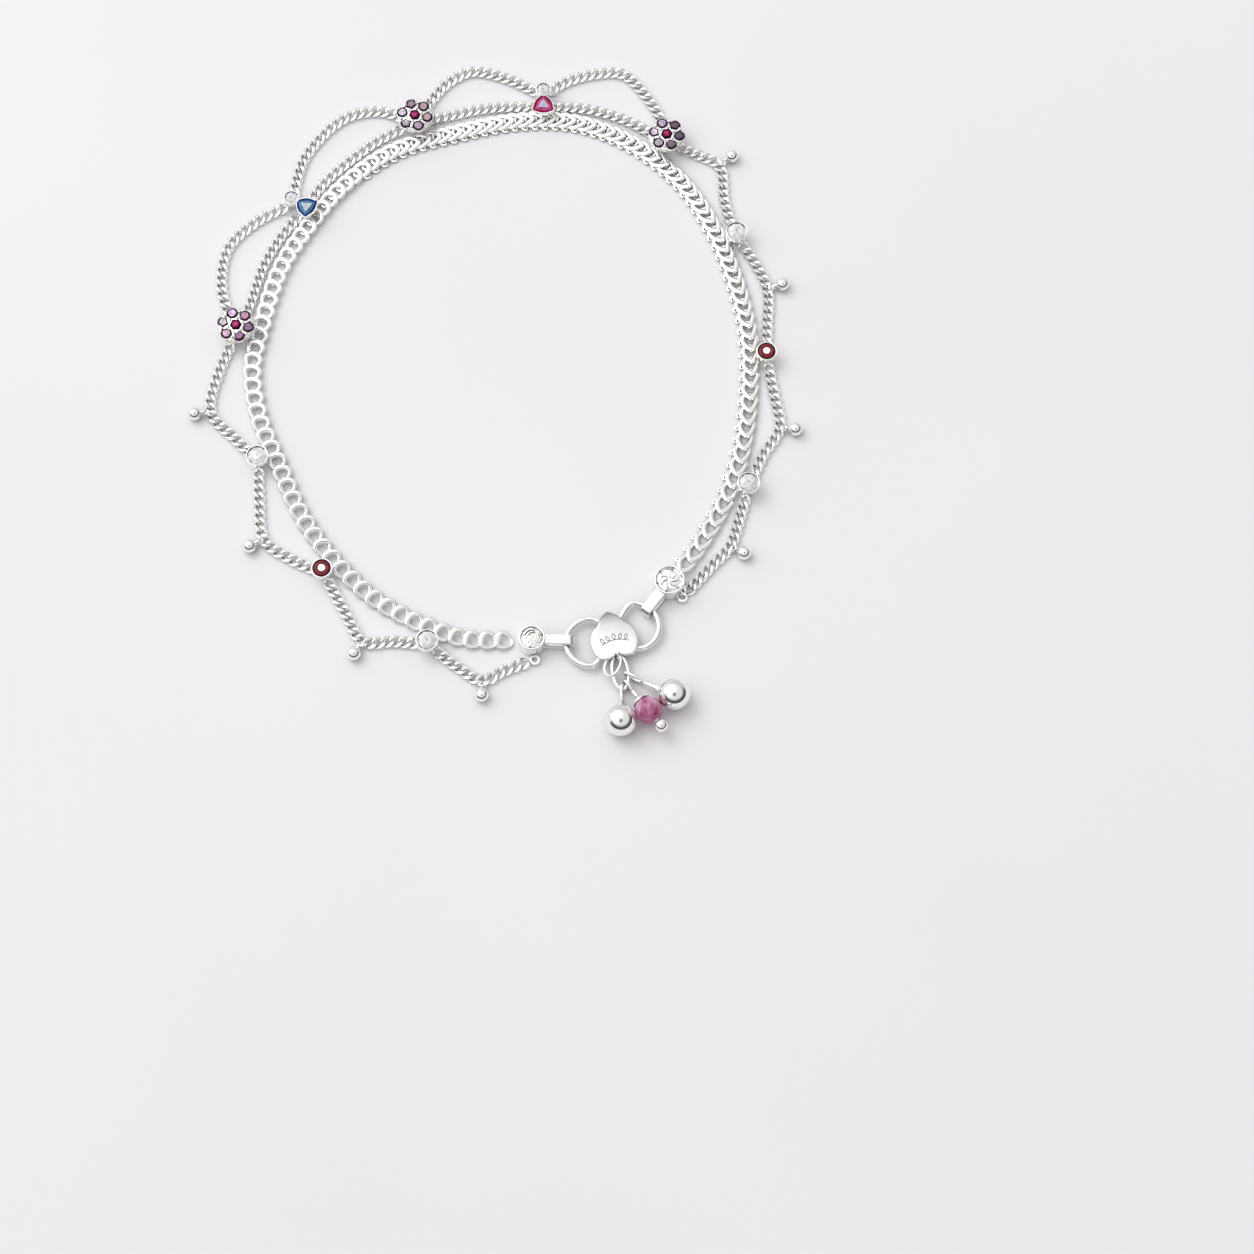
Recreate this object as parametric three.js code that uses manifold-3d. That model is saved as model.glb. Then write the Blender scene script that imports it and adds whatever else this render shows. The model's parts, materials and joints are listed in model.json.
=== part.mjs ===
// A payal anklet lying flat: a chain of horseshoe links, stone settings beside it, festoons of fine
// chain with ball drops, and an S hook with a heart plate that carries three charms.
// Millimetres, +Z up. The underside is at z = 0, below the middle of the whole piece.
import * as THREE from 'three';
import { mergeVertices } from 'three/addons/utils/BufferGeometryUtils.js';
import Module from 'manifold-3d';

const wasm = await Module();
wasm.setup();

// Gaps between pieces, how far soldered pieces reach into each other, and the play inside a loop
const CLEAR = 0.2;
const SEAT_GAP = 0.15;
const SOLDER = 0.25;
const LOOP_SLACK = 0.38;

// Main chain: one link is a horseshoe whose narrow end dips under the next link
const LINK_WIRE = 0.8;
const LINK_LENGTH = 4.0;
const LINK_WIDTH = 3.0;
const LINK_TAPER = 0.4;
const LINK_NEST = 0.65;
const LINK_BITE = 0.9;

// Fine curb chain, as the outer size of its lying links
const CURB_WIDTH = 1.8;
const CURB_THICKNESS = 1.05;
const CURB_STEP = 2.6;

// Round collets beside the chain
const CLEAR_FOOT = 1.1;
const CLEAR_RIM = 1.9;
const CLEAR_SEAT = 1.6;
const CLEAR_HEIGHT = 1.3;
const RED_FOOT = 1.0;
const RED_RIM = 1.8;
const RED_SEAT = 1.55;
const RED_POST = 0.6;
const RED_HEIGHT = 1.1;
const SEAT_DEPTH = 0.8;
const FLARE = 0.3;
const GIRDLE_SHARE = 0.45;
const TABLE_SHARE = 0.6;

// Triangle settings, each with a small round collet at its outer corner
const TRIANGLE_OUT = 1.5;
const TRIANGLE_FOOT = 0.7;
const TRIANGLE_RIM = 1.95;
const TRIANGLE_SEAT = 1.65;
const TRIANGLE_SWELL = 0.14;
const TRIANGLE_HEIGHT = 1.3;
const SMALL_JOIN = 0.273;
const SMALL_FOOT = 0.7;
const SMALL_RIM = 1.25;
const SMALL_SEAT = 1.0;

// Flower clusters
const FLOWER_FOOT = 2.0;
const FLOWER_GALLERY = 2.9;
const FLOWER_GALLERY_HEIGHT = 1.0;
const FLOWER_HEIGHT = 1.8;
const PETAL_COUNT = 6;
const PETAL_ORBIT = 2.3;
const PETAL_RADIUS = 0.93;
const FLOWER_CENTRE = 0.97;

// End pieces with their strap hooks and lugs
const END_RADIUS = 2.5;
const END_HEIGHT = 3.2;
const END_PROFILE = [[0, 0], [0.9, 0], [1, 0.2], [1, 0.65], [0.8, 0.92], [0, 1]];
const END_GAP = 0.3;
const LUG_RADIUS = 1.0;
const LUG_HOLE = 0.45;
const LUG_THICKNESS = 0.8;
const STRAP_WIDTH = 1.9;
const STRAP_THICKNESS = 0.4;
const STRAP_REACH = 5.6;
const STRAP_ROOT = 1.25;
const STRAP_SLOT = 2;

// S hook and heart plate
const HOOK_WIRE = 0.95;
const HOOK_LOOP = 4.05;
const HEART_WIDTH = 7.9;
const HEART_HEIGHT = 8.1;
const HEART_THICKNESS = 0.6;
const HEART_TURN = 13;
const PLATE_SINK = 0.12;
const LEFT_ARC = [-122, 100];
const RIGHT_ARC = [47, -148];
const ARC_POINTS = 7;
const BAIL_SHARE = 0.45;
const BAIL_WIRE = 0.5;
const BAIL_LENGTH = 2.2;

// Charms on the jump ring: where each hangs on the ring, which way it lies and how far it reaches
const LEFT_REACH = 5.9;
const LEFT_EYE = 4;
const RIGHT_REACH = 8.4;
const RIGHT_EYE = 4.2;
const BEAD_REACH = 6;
const BALLS = [
  { name: 'charm_ball_left', seat: -12, bearing: -91, reach: LEFT_REACH, eye: LEFT_EYE },
  { name: 'charm_ball_right', seat: 75, bearing: -27, reach: RIGHT_REACH, eye: RIGHT_EYE },
];
const BEAD = { seat: 38, bearing: -54, reach: BEAD_REACH };
const EYE_STRETCH = 1.15;
const NECK_DEPTH = 0.6;
const RING_WIRE = 0.65;
const RING_LENGTH = 6.8;
const RING_WIDTH = 3.3;
const RING_TURN = -81;
const CHARM_WIRE = 0.5;
const CHARM_RADIUS = 2.7;
const BEAD_RADIUS = 2.33;
const BEAD_BORE = 0.45;
const PIN_RADIUS = 0.3;
const PIN_BALL = 1.15;
const CAP_RADIUS = 1.25;
const CAP_THICKNESS = 0.4;
const DROP_RADIUS = 1.2;
const DROP_LUG = 0.4;

// Sides of round pieces, and how finely rings and wires are divided
const ROUND_SIDES = 10;
const STONE_SIDES = 8;
const TRIANGLE_SIDES = 12;
const WIRE_SIDES = 5;
const CURB_SIDES = 8;
const RING_STEPS = 8;
const HOOK_SIDES = 6;
const HOOK_STEPS = 28;
const BALL_SIDES = 12;
const BALL_BANDS = 6;
const SMALL_BALL_BANDS = 4;

// The main chain's route on the surface, clockwise from the left end to the right end
const MAIN_ROUTE = [
  [2.4, -47], [-5.8, -46.7], [-12, -44.6], [-20.9, -39.8], [-28.5, -32.4], [-34, -24.6],
  [-38.5, -14.6], [-42.2, -5.6], [-43.5, 3], [-42.1, 11.5], [-39.6, 21.4], [-36, 28.4],
  [-29, 38.1], [-20.5, 45], [-9, 48.9], [2, 51.2], [12, 50.8], [21.5, 46.9], [30.5, 39.2],
  [35.8, 30.6], [39.2, 21.9], [41.8, 11], [42.1, 0], [40.7, -11.8], [37.6, -21.6],
  [32.8, -30.4], [29.7, -34.6],
];

// What stands beside the chain, by its share of the chain's length
const STATIONS = [
  { name: 'clear_low_left', kind: 'clear', along: 0.053 },
  { name: 'red_left', kind: 'red', along: 0.134 },
  { name: 'clear_left', kind: 'clear', along: 0.222 },
  { name: 'flower_left', kind: 'flower', along: 0.311 },
  { name: 'blue', kind: 'triangle', along: 0.407 },
  { name: 'flower_top', kind: 'flower', along: 0.501 },
  { name: 'ruby', kind: 'triangle', along: 0.586 },
  { name: 'flower_right', kind: 'flower', along: 0.668 },
  { name: 'clear_right', kind: 'clear', along: 0.749 },
  { name: 'red_right', kind: 'red', along: 0.836 },
  { name: 'clear_low_right', kind: 'clear', along: 0.928 },
];

// The fine chains' routes: chosen points as [share of the main chain, distance outside it]
const INNER_OUT = 2.9;
const CURB_ROUTES = [
  { name: 'curb_inner_1', from: 'flower_left', to: 'blue',
    points: [[0.333, INNER_OUT], [0.36, INNER_OUT], [0.383, INNER_OUT]] },
  { name: 'curb_inner_2', from: 'blue', to: 'flower_top',
    points: [[0.43, INNER_OUT], [0.455, INNER_OUT], [0.478, 3.2]] },
  { name: 'curb_inner_3', from: 'flower_top', to: 'ruby',
    points: [[0.525, 3.5], [0.545, 3.4], [0.565, INNER_OUT]] },
  { name: 'curb_inner_4', from: 'ruby', to: 'flower_right',
    points: [[0.607, INNER_OUT], [0.625, 3.2], [0.643, 3.4]] },
  { name: 'curb_outer_1', from: 'flower_left', to: 'blue_round',
    points: [[0.325, 6.4], [0.341, 8.7], [0.364, 10.1], [0.386, 8]] },
  { name: 'curb_outer_2', from: 'blue_round', to: 'flower_top',
    points: [[0.424, 7.4], [0.438, 9.2], [0.466, 10.3], [0.484, 8.3]] },
  { name: 'curb_outer_3', from: 'flower_top', to: 'ruby_round',
    points: [[0.516, 7.7], [0.53, 10.2], [0.546, 11.2], [0.565, 8.6]] },
  { name: 'curb_outer_4', from: 'ruby_round', to: 'flower_right',
    points: [[0.597, 7.6], [0.61, 10], [0.625, 11.7], [0.642, 9.3], [0.655, 6.9]] },
];

// The festoons: the middle point is the corner that carries a drop
const FESTOONS = [
  { number: 1, from: 'end_left', to: 'clear_low_left', points: [[0.008, 5.2], [0.02, 6.9], [0.033, 4.9]] },
  { number: 2, from: 'clear_low_left', to: 'red_left', points: [[0.073, 4.6], [0.088, 7.1], [0.107, 4.7]] },
  { number: 3, from: 'red_left', to: 'clear_left', points: [[0.154, 5.5], [0.172, 7.4], [0.195, 5.3]] },
  { number: 4, from: 'clear_left', to: 'flower_left', points: [[0.243, 5], [0.262, 7.7], [0.286, 5.6]] },
  { number: 5, from: 'flower_right', to: 'clear_right', points: [[0.688, 5.6], [0.701, 7.1], [0.722, 4.1]] },
  { number: 6, from: 'clear_right', to: 'red_right', points: [[0.77, 4.2], [0.79, 4.8], [0.812, 3.5]] },
  { number: 7, from: 'red_right', to: 'clear_low_right', points: [[0.863, 4.2], [0.885, 5.6], [0.903, 3.7]] },
  { number: 8, from: 'clear_low_right', to: 'end_right', points: [[0.952, 3.7], [0.968, 4.5], [0.983, 3.7]] },
];

// Colours
const silver = { color: 0xe4e1dd, roughness: 0.2, metalness: 1 };
const clearStone = { color: 0xeaf0f4, roughness: 0.05, metalness: 0 };
const blueStone = { color: 0x1c5a9c, roughness: 0.08, metalness: 0 };
const rubyStone = { color: 0xc01858, roughness: 0.08, metalness: 0 };
const redGlass = { color: 0x8a1420, roughness: 0.1, metalness: 0 };
const pinkGlass = { color: 0xcf7aa8, roughness: 0.15, metalness: 0 };

const anklet = new THREE.Group();
const degrees = THREE.MathUtils.degToRad;

function addPiece(name, body, look, position = [0, 0, 0], turn = 0) {
  const { vertProperties, triVerts } = body.getMesh();
  const geometry = new THREE.BufferGeometry();
  geometry.setAttribute('position', new THREE.BufferAttribute(new Float32Array(vertProperties), 3));
  geometry.setIndex(new THREE.BufferAttribute(new Uint32Array(triVerts), 1));
  geometry.computeVertexNormals();
  const mesh = new THREE.Mesh(geometry, new THREE.MeshStandardMaterial(look));
  mesh.name = name;
  mesh.position.set(...position);
  mesh.rotation.z = turn;
  anklet.add(mesh);
}

// A closed geometry as a solid, with its faces turned outwards
function solid(geometry) {
  const bare = geometry.clone();
  bare.deleteAttribute('normal');
  bare.deleteAttribute('uv');
  const merged = mergeVertices(bare, 1e-4);
  const position = merged.attributes.position;
  const index = merged.index.array;
  const corners = [new THREE.Vector3(), new THREE.Vector3(), new THREE.Vector3()];
  const kept = [];
  let volume = 0;
  for (let i = 0; i < index.length; i += 3) {
    const triangle = [index[i], index[i + 1], index[i + 2]];
    if (new Set(triangle).size < 3) continue;
    kept.push(triangle);
    corners.forEach((corner, k) => corner.fromBufferAttribute(position, triangle[k]));
    volume += corners[0].dot(corners[1].clone().cross(corners[2]));
  }
  const triVerts = new Uint32Array(kept.flatMap(([a, b, c]) => (volume > 0 ? [a, b, c] : [a, c, b])));
  const vertProperties = new Float32Array(position.array);
  return new wasm.Manifold(new wasm.Mesh({ numProp: 3, vertProperties, triVerts }));
}

function joined(bodies) {
  return bodies.reduce((whole, body) => whole.add(body));
}

// A turned body about +Z, from a profile of [radius, height] that starts and ends on the axis
function turned(profile, sides = ROUND_SIDES) {
  const points = profile.map(([radius, height]) => new THREE.Vector2(radius, height));
  return new THREE.LatheGeometry(points, sides).rotateX(Math.PI / 2);
}

function disc(radius, bottom, top, x = 0, sides = ROUND_SIDES) {
  const geometry = new THREE.CylinderGeometry(radius, radius, top - bottom, sides);
  return geometry.rotateX(Math.PI / 2).translate(x, 0, (top + bottom) / 2);
}

// A closed ring of round wire lying in the XY plane; taper narrows its -X end
function ring(length, width, wire, taper = 0, steps = RING_STEPS) {
  const geometry = new THREE.TorusGeometry(1, wire / 2, WIRE_SIDES, steps);
  const halfLength = (length - wire) / 2;
  const halfWidth = (width - wire) / 2;
  const position = geometry.attributes.position;
  for (let i = 0; i < position.count; i++) {
    const angle = Math.atan2(position.getY(i), position.getX(i));
    const out = Math.hypot(position.getX(i), position.getY(i)) - 1;
    const normalX = halfWidth * (Math.cos(angle) + taper * Math.cos(2 * angle));
    const normalY = halfLength * Math.sin(angle);
    const size = Math.hypot(normalX, normalY);
    const x = halfLength * Math.cos(angle) + (out * normalX) / size;
    const y = halfWidth * Math.sin(angle) * (1 + taper * Math.cos(angle)) + (out * normalY) / size;
    position.setXY(i, x, y);
  }
  return geometry;
}

// A tube of flat oval section along part of a curve
function tube(curve, width, thickness, sides, steps, start = 0, end = 1) {
  const path = new THREE.Curve();
  path.getPoint = (share) => curve.getPointAt(start + (end - start) * share);
  const section = new THREE.Shape();
  for (let i = 0; i < sides; i++) {
    const angle = (2 * Math.PI * (i + 0.5)) / sides;
    const corner = [(Math.cos(angle) * thickness) / 2, (Math.sin(angle) * width) / 2];
    if (i === 0) section.moveTo(...corner);
    else section.lineTo(...corner);
  }
  return new THREE.ExtrudeGeometry(section, { steps, bevelEnabled: false, extrudePath: path });
}

// Places by the main chain: a share of its length, and a distance outside it
const mainCurve = new THREE.CatmullRomCurve3(MAIN_ROUTE.map(([x, y]) => new THREE.Vector3(x, y, 0)));
mainCurve.arcLengthDivisions = 600;
const mainLength = mainCurve.getLength();

function place(along, out = 0, z = 0) {
  const share = THREE.MathUtils.clamp(along, 0, 1);
  const point = mainCurve.getPointAt(share);
  const tangent = mainCurve.getTangentAt(share);
  const beyond = (along - share) * mainLength;
  point.addScaledVector(tangent, beyond);
  point.add(new THREE.Vector3(-tangent.y * out, tangent.x * out, z));
  return { point, heading: Math.atan2(tangent.y, tangent.x) };
}

// Main chain
const linkPitch = LINK_LENGTH - LINK_WIRE - LINK_NEST;
const linkTilt = Math.asin((LINK_WIRE * LINK_BITE) / linkPitch);
const chainHeight = (LINK_LENGTH - LINK_WIRE) * Math.sin(linkTilt) + LINK_WIRE;
const deck = chainHeight + CLEAR;

function chainPart(start, end) {
  const span = (end - start) * mainLength - LINK_LENGTH;
  const gaps = Math.ceil(span / linkPitch);
  const tilt = Math.asin((LINK_WIRE * LINK_BITE * gaps) / span);
  const height = (LINK_LENGTH - LINK_WIRE) * Math.sin(tilt) + LINK_WIRE;
  const links = [];
  for (let i = 0; i <= gaps; i++) {
    const along = start + (LINK_LENGTH / 2 + (span * i) / gaps) / mainLength;
    const { point, heading } = place(along, 0, height / 2);
    const link = ring(LINK_LENGTH, LINK_WIDTH, LINK_WIRE, LINK_TAPER).rotateY(-tilt);
    links.push(solid(link.rotateZ(heading).translate(point.x, point.y, point.z)));
  }
  return joined(links);
}

// Stones and settings, each about its own +Z axis with +X pointing away from the chain
function cutStone(radius, bottom, height, sides = STONE_SIDES) {
  const girdle = bottom + height * GIRDLE_SHARE;
  const table = radius * TABLE_SHARE;
  return turned([[0, bottom], [radius, girdle], [table, bottom + height], [0, bottom + height]], sides);
}

function collet(foot, rim, seat, height) {
  const top = deck + height;
  const floor = top - SEAT_DEPTH;
  const outside = [[0, 0], [foot, 0], [foot, deck], [rim, deck + FLARE], [rim, top]];
  return turned([...outside, [seat, top], [seat, floor], [0, floor]]);
}

function roundStone(seat, height) {
  const bottom = deck + height - SEAT_DEPTH + SEAT_GAP;
  return cutStone(seat - SEAT_GAP, bottom, SEAT_DEPTH + SEAT_GAP, ROUND_SIDES);
}

function addClear({ name, along }) {
  const { point, heading } = place(along, LINK_WIDTH / 2 + CLEAR + CLEAR_FOOT);
  const turn = heading + Math.PI / 2;
  const at = [point.x, point.y, 0];
  const cup = collet(CLEAR_FOOT, CLEAR_RIM, CLEAR_SEAT, CLEAR_HEIGHT);
  addPiece(`collet_${name}`, solid(cup), silver, at, turn);
  addPiece(`stone_${name}`, solid(roundStone(CLEAR_SEAT, CLEAR_HEIGHT)), clearStone, at, turn);
  anchors[name] = { point, radius: CLEAR_FOOT };
}

function addRed({ name, along }) {
  const { point, heading } = place(along, LINK_WIDTH / 2 + CLEAR + RED_FOOT);
  const turn = heading + Math.PI / 2;
  const at = [point.x, point.y, 0];
  const top = deck + RED_HEIGHT;
  const floor = top - SEAT_DEPTH;
  const inner = RED_POST + SEAT_GAP;
  const outer = RED_SEAT - SEAT_GAP;
  const cup = turned([
    [0, 0], [RED_FOOT, 0], [RED_FOOT, deck], [RED_RIM, deck + FLARE], [RED_RIM, top], [RED_SEAT, top],
    [RED_SEAT, floor], [RED_POST, floor], [RED_POST, top + SEAT_GAP], [0, top + SEAT_GAP],
  ]);
  const base = floor + SEAT_GAP;
  const crown = [(inner + outer) / 2, top + SEAT_GAP * 2];
  const glass = turned([[inner, base], [outer, base], [outer, top], crown, [inner, top], [inner, base]]);
  addPiece(`collet_${name}`, solid(cup), silver, at, turn);
  addPiece(`stone_${name}`, solid(glass), redGlass, at, turn);
  anchors[name] = { point, radius: RED_FOOT };
}

// From the triangle's middle to the small collet's, whose rim reaches into the outer corner
const smallSpan = TRIANGLE_RIM * (1 + TRIANGLE_SWELL) + SMALL_RIM - SMALL_JOIN;

// Pushes the three corners of a round body out and its three sides in
function trillion(geometry) {
  const position = geometry.attributes.position;
  for (let i = 0; i < position.count; i++) {
    const swell = 1 + TRIANGLE_SWELL * Math.cos(3 * Math.atan2(position.getY(i), position.getX(i)));
    position.setXY(i, position.getX(i) * swell, position.getY(i) * swell);
  }
  return geometry;
}

function addTriangle({ name, along }, look) {
  const top = deck + TRIANGLE_HEIGHT;
  const floor = top - SEAT_DEPTH;
  const { point, heading } = place(along, TRIANGLE_OUT);
  const turn = heading + Math.PI / 2;
  const at = [point.x, point.y, 0];
  const outward = new THREE.Vector3(Math.cos(turn), Math.sin(turn), 0);
  const footX = LINK_WIDTH / 2 + CLEAR + TRIANGLE_FOOT - TRIANGLE_OUT;
  const head = trillion(turned([
    [0, deck], [TRIANGLE_RIM - FLARE, deck], [TRIANGLE_RIM, deck + FLARE], [TRIANGLE_RIM, top],
    [TRIANGLE_SEAT, top], [TRIANGLE_SEAT, floor], [0, floor],
  ], TRIANGLE_SIDES));
  const foot = disc(TRIANGLE_FOOT, 0, deck + SOLDER, footX);
  const small = collet(SMALL_FOOT, SMALL_RIM, SMALL_SEAT, TRIANGLE_HEIGHT).translate(smallSpan, 0, 0);
  addPiece(`setting_${name}`, joined([solid(head), solid(foot), solid(small)]), silver, at, turn);
  const gem = cutStone(TRIANGLE_SEAT - SEAT_GAP, floor + SEAT_GAP, SEAT_DEPTH + SEAT_GAP, TRIANGLE_SIDES);
  addPiece(`stone_${name}`, solid(trillion(gem)), look, at, turn);
  const round = roundStone(SMALL_SEAT, TRIANGLE_HEIGHT).translate(smallSpan, 0, 0);
  addPiece(`stone_${name}_round`, solid(round), clearStone, at, turn);
  const outwards = (distance) => point.clone().addScaledVector(outward, distance);
  anchors[name] = { point: outwards(footX), radius: TRIANGLE_FOOT };
  anchors[`${name}_round`] = { point: outwards(smallSpan), radius: SMALL_FOOT };
}

function addFlower({ name, along }) {
  const { point, heading } = place(along, LINK_WIDTH / 2 + CLEAR + FLOWER_FOOT);
  const gallery = deck + FLOWER_GALLERY_HEIGHT;
  const top = deck + FLOWER_HEIGHT;
  const cup = turned([
    [0, 0], [FLOWER_FOOT, 0], [FLOWER_FOOT, deck], [FLOWER_GALLERY, deck + FLARE],
    [FLOWER_GALLERY, gallery], [0, gallery],
  ]);
  const sunk = gallery - SOLDER;
  const stones = [solid(cutStone(FLOWER_CENTRE, sunk, top - sunk + CLEAR))];
  for (let i = 0; i < PETAL_COUNT; i++) {
    const petal = cutStone(PETAL_RADIUS, sunk, top - sunk).translate(PETAL_ORBIT, 0, 0);
    stones.push(solid(petal.rotateZ((2 * Math.PI * i) / PETAL_COUNT)));
  }
  addPiece(name, joined([solid(cup), ...stones]), silver, [point.x, point.y, 0], heading + Math.PI / 2);
  anchors[name] = { point, radius: FLOWER_FOOT };
}

// End pieces: a domed cap, a lug for the last festoon and a flat strap that closes round the hook
function addEnd(name, along) {
  const { point, heading } = place(along);
  const toClasp = heading + (along < 0.5 ? Math.PI : 0);
  const away = along < 0.5 ? -Math.PI / 2 : Math.PI / 2;
  const strapEnd = STRAP_REACH + HOOK_WIRE / 2 + LOOP_SLACK + STRAP_THICKNESS;
  const strapHeight = HOOK_WIRE + 2 * (LOOP_SLACK + STRAP_THICKNESS);
  const cap = turned(END_PROFILE.map(([radius, height]) => [END_RADIUS * radius, END_HEIGHT * height]));
  const outline = new THREE.Shape([
    [STRAP_ROOT, 0], [strapEnd - STRAP_THICKNESS, 0], [strapEnd, STRAP_THICKNESS],
    [strapEnd, strapHeight - STRAP_THICKNESS], [strapEnd - STRAP_THICKNESS, strapHeight],
    [STRAP_ROOT, strapHeight],
  ].map(([x, y]) => new THREE.Vector2(x, y)));
  outline.holes.push(new THREE.Path([
    [STRAP_SLOT, STRAP_THICKNESS], [STRAP_SLOT, strapHeight - STRAP_THICKNESS],
    [strapEnd - STRAP_THICKNESS, strapHeight - STRAP_THICKNESS],
    [strapEnd - STRAP_THICKNESS, STRAP_THICKNESS],
  ].map(([x, y]) => new THREE.Vector2(x, y))));
  const strap = new THREE.ExtrudeGeometry(outline, { depth: STRAP_WIDTH, bevelEnabled: false });
  strap.translate(0, 0, -STRAP_WIDTH / 2).rotateX(Math.PI / 2);
  const lugX = END_RADIUS + LUG_RADIUS - SOLDER;
  const lug = solid(disc(LUG_RADIUS, 0, LUG_THICKNESS, lugX));
  const hole = solid(disc(LUG_HOLE, -1, LUG_THICKNESS + 1, lugX));
  const turnedLug = lug.subtract(hole).rotate([0, 0, THREE.MathUtils.radToDeg(away)]);
  const body = joined([solid(cap), solid(strap), turnedLug]);
  addPiece(name, body, silver, [point.x, point.y, 0], toClasp);
  const outward = new THREE.Vector3(Math.cos(heading + Math.PI / 2), Math.sin(heading + Math.PI / 2), 0);
  anchors[name] = { point: point.clone().addScaledVector(outward, lugX), radius: LUG_RADIUS };
  const reach = new THREE.Vector3(Math.cos(toClasp), Math.sin(toClasp), 0);
  return { loop: point.clone().addScaledVector(reach, STRAP_REACH + HOOK_LOOP), toEnd: toClasp + Math.PI };
}

// S hook: round the left loop, across under the plate, and back round the right loop
const hookLevel = STRAP_THICKNESS + LOOP_SLACK + HOOK_WIRE / 2;
const plateBottom = hookLevel + HOOK_WIRE / 2 - PLATE_SINK;

function hookArc({ loop, toEnd }, from, to) {
  const points = [];
  for (let i = 0; i <= ARC_POINTS; i++) {
    const angle = toEnd + degrees(from + ((to - from) * i) / ARC_POINTS);
    const x = loop.x + HOOK_LOOP * Math.cos(angle);
    const y = loop.y + HOOK_LOOP * Math.sin(angle);
    points.push(new THREE.Vector3(x, y, hookLevel));
  }
  return points;
}

function heartPlate() {
  const w = HEART_WIDTH / 2;
  const h = HEART_HEIGHT / 2;
  const heart = new THREE.Shape();
  heart.moveTo(0, h);
  heart.bezierCurveTo(w * 0.3, h * 0.6, w, h * 0.2, w, -h * 0.35);
  heart.bezierCurveTo(w, -h * 0.8, w * 0.78, -h, w * 0.5, -h);
  heart.bezierCurveTo(w * 0.25, -h, w * 0.05, -h * 0.9, 0, -h * 0.74);
  heart.bezierCurveTo(-w * 0.05, -h * 0.9, -w * 0.25, -h, -w * 0.5, -h);
  heart.bezierCurveTo(-w * 0.78, -h, -w, -h * 0.8, -w, -h * 0.35);
  heart.bezierCurveTo(-w, h * 0.2, -w * 0.3, h * 0.6, 0, h);
  const shape = { depth: HEART_THICKNESS, bevelEnabled: false, curveSegments: 3 };
  return new THREE.ExtrudeGeometry(heart, shape).translate(0, 0, plateBottom);
}

// The small upright bail under the heart's notch, which the jump ring passes through
const charmLoop = RING_WIRE + 2 * (CHARM_WIRE + LOOP_SLACK);
const bailHeight = RING_WIRE + 2 * (BAIL_WIRE + LOOP_SLACK);
const ringLevel = Math.max(charmLoop, bailHeight) / 2;
const bailSpot = -HEART_HEIGHT * BAIL_SHARE;

function addHook(left, right) {
  const middle = left.loop.clone().add(right.loop).multiplyScalar(0.5);
  const wire = new THREE.CatmullRomCurve3([...hookArc(left, ...LEFT_ARC), ...hookArc(right, ...RIGHT_ARC)]);
  const bail = ring(BAIL_LENGTH, bailHeight, BAIL_WIRE).rotateX(Math.PI / 2).rotateZ(Math.PI / 2);
  bail.translate(0, bailSpot, ringLevel);
  const plate = joined([solid(heartPlate()), solid(bail)]).rotate([0, 0, HEART_TURN]);
  const hook = solid(tube(wire, HOOK_WIRE, HOOK_WIRE, HOOK_SIDES, HOOK_STEPS));
  addPiece('s_hook', hook.add(plate.translate([middle.x, middle.y, 0])), silver);
  const turn = degrees(HEART_TURN);
  const x = middle.x - bailSpot * Math.sin(turn);
  const y = middle.y + bailSpot * Math.cos(turn);
  return new THREE.Vector3(x, y, ringLevel);
}

// A charm's eye: an upright loop round the jump ring's wire at the origin, reaching out along +X
function charmEye(length) {
  const eye = ring(length, charmLoop, CHARM_WIRE).rotateX(Math.PI / 2);
  return solid(eye.translate(length / 2 - charmLoop / 2, 0, 0));
}

// A round rod along +X
function rod(radius, from, to) {
  const geometry = new THREE.CylinderGeometry(radius, radius, to - from, HOOK_SIDES).rotateZ(Math.PI / 2);
  return solid(geometry.translate((from + to) / 2, 0, 0));
}

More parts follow.
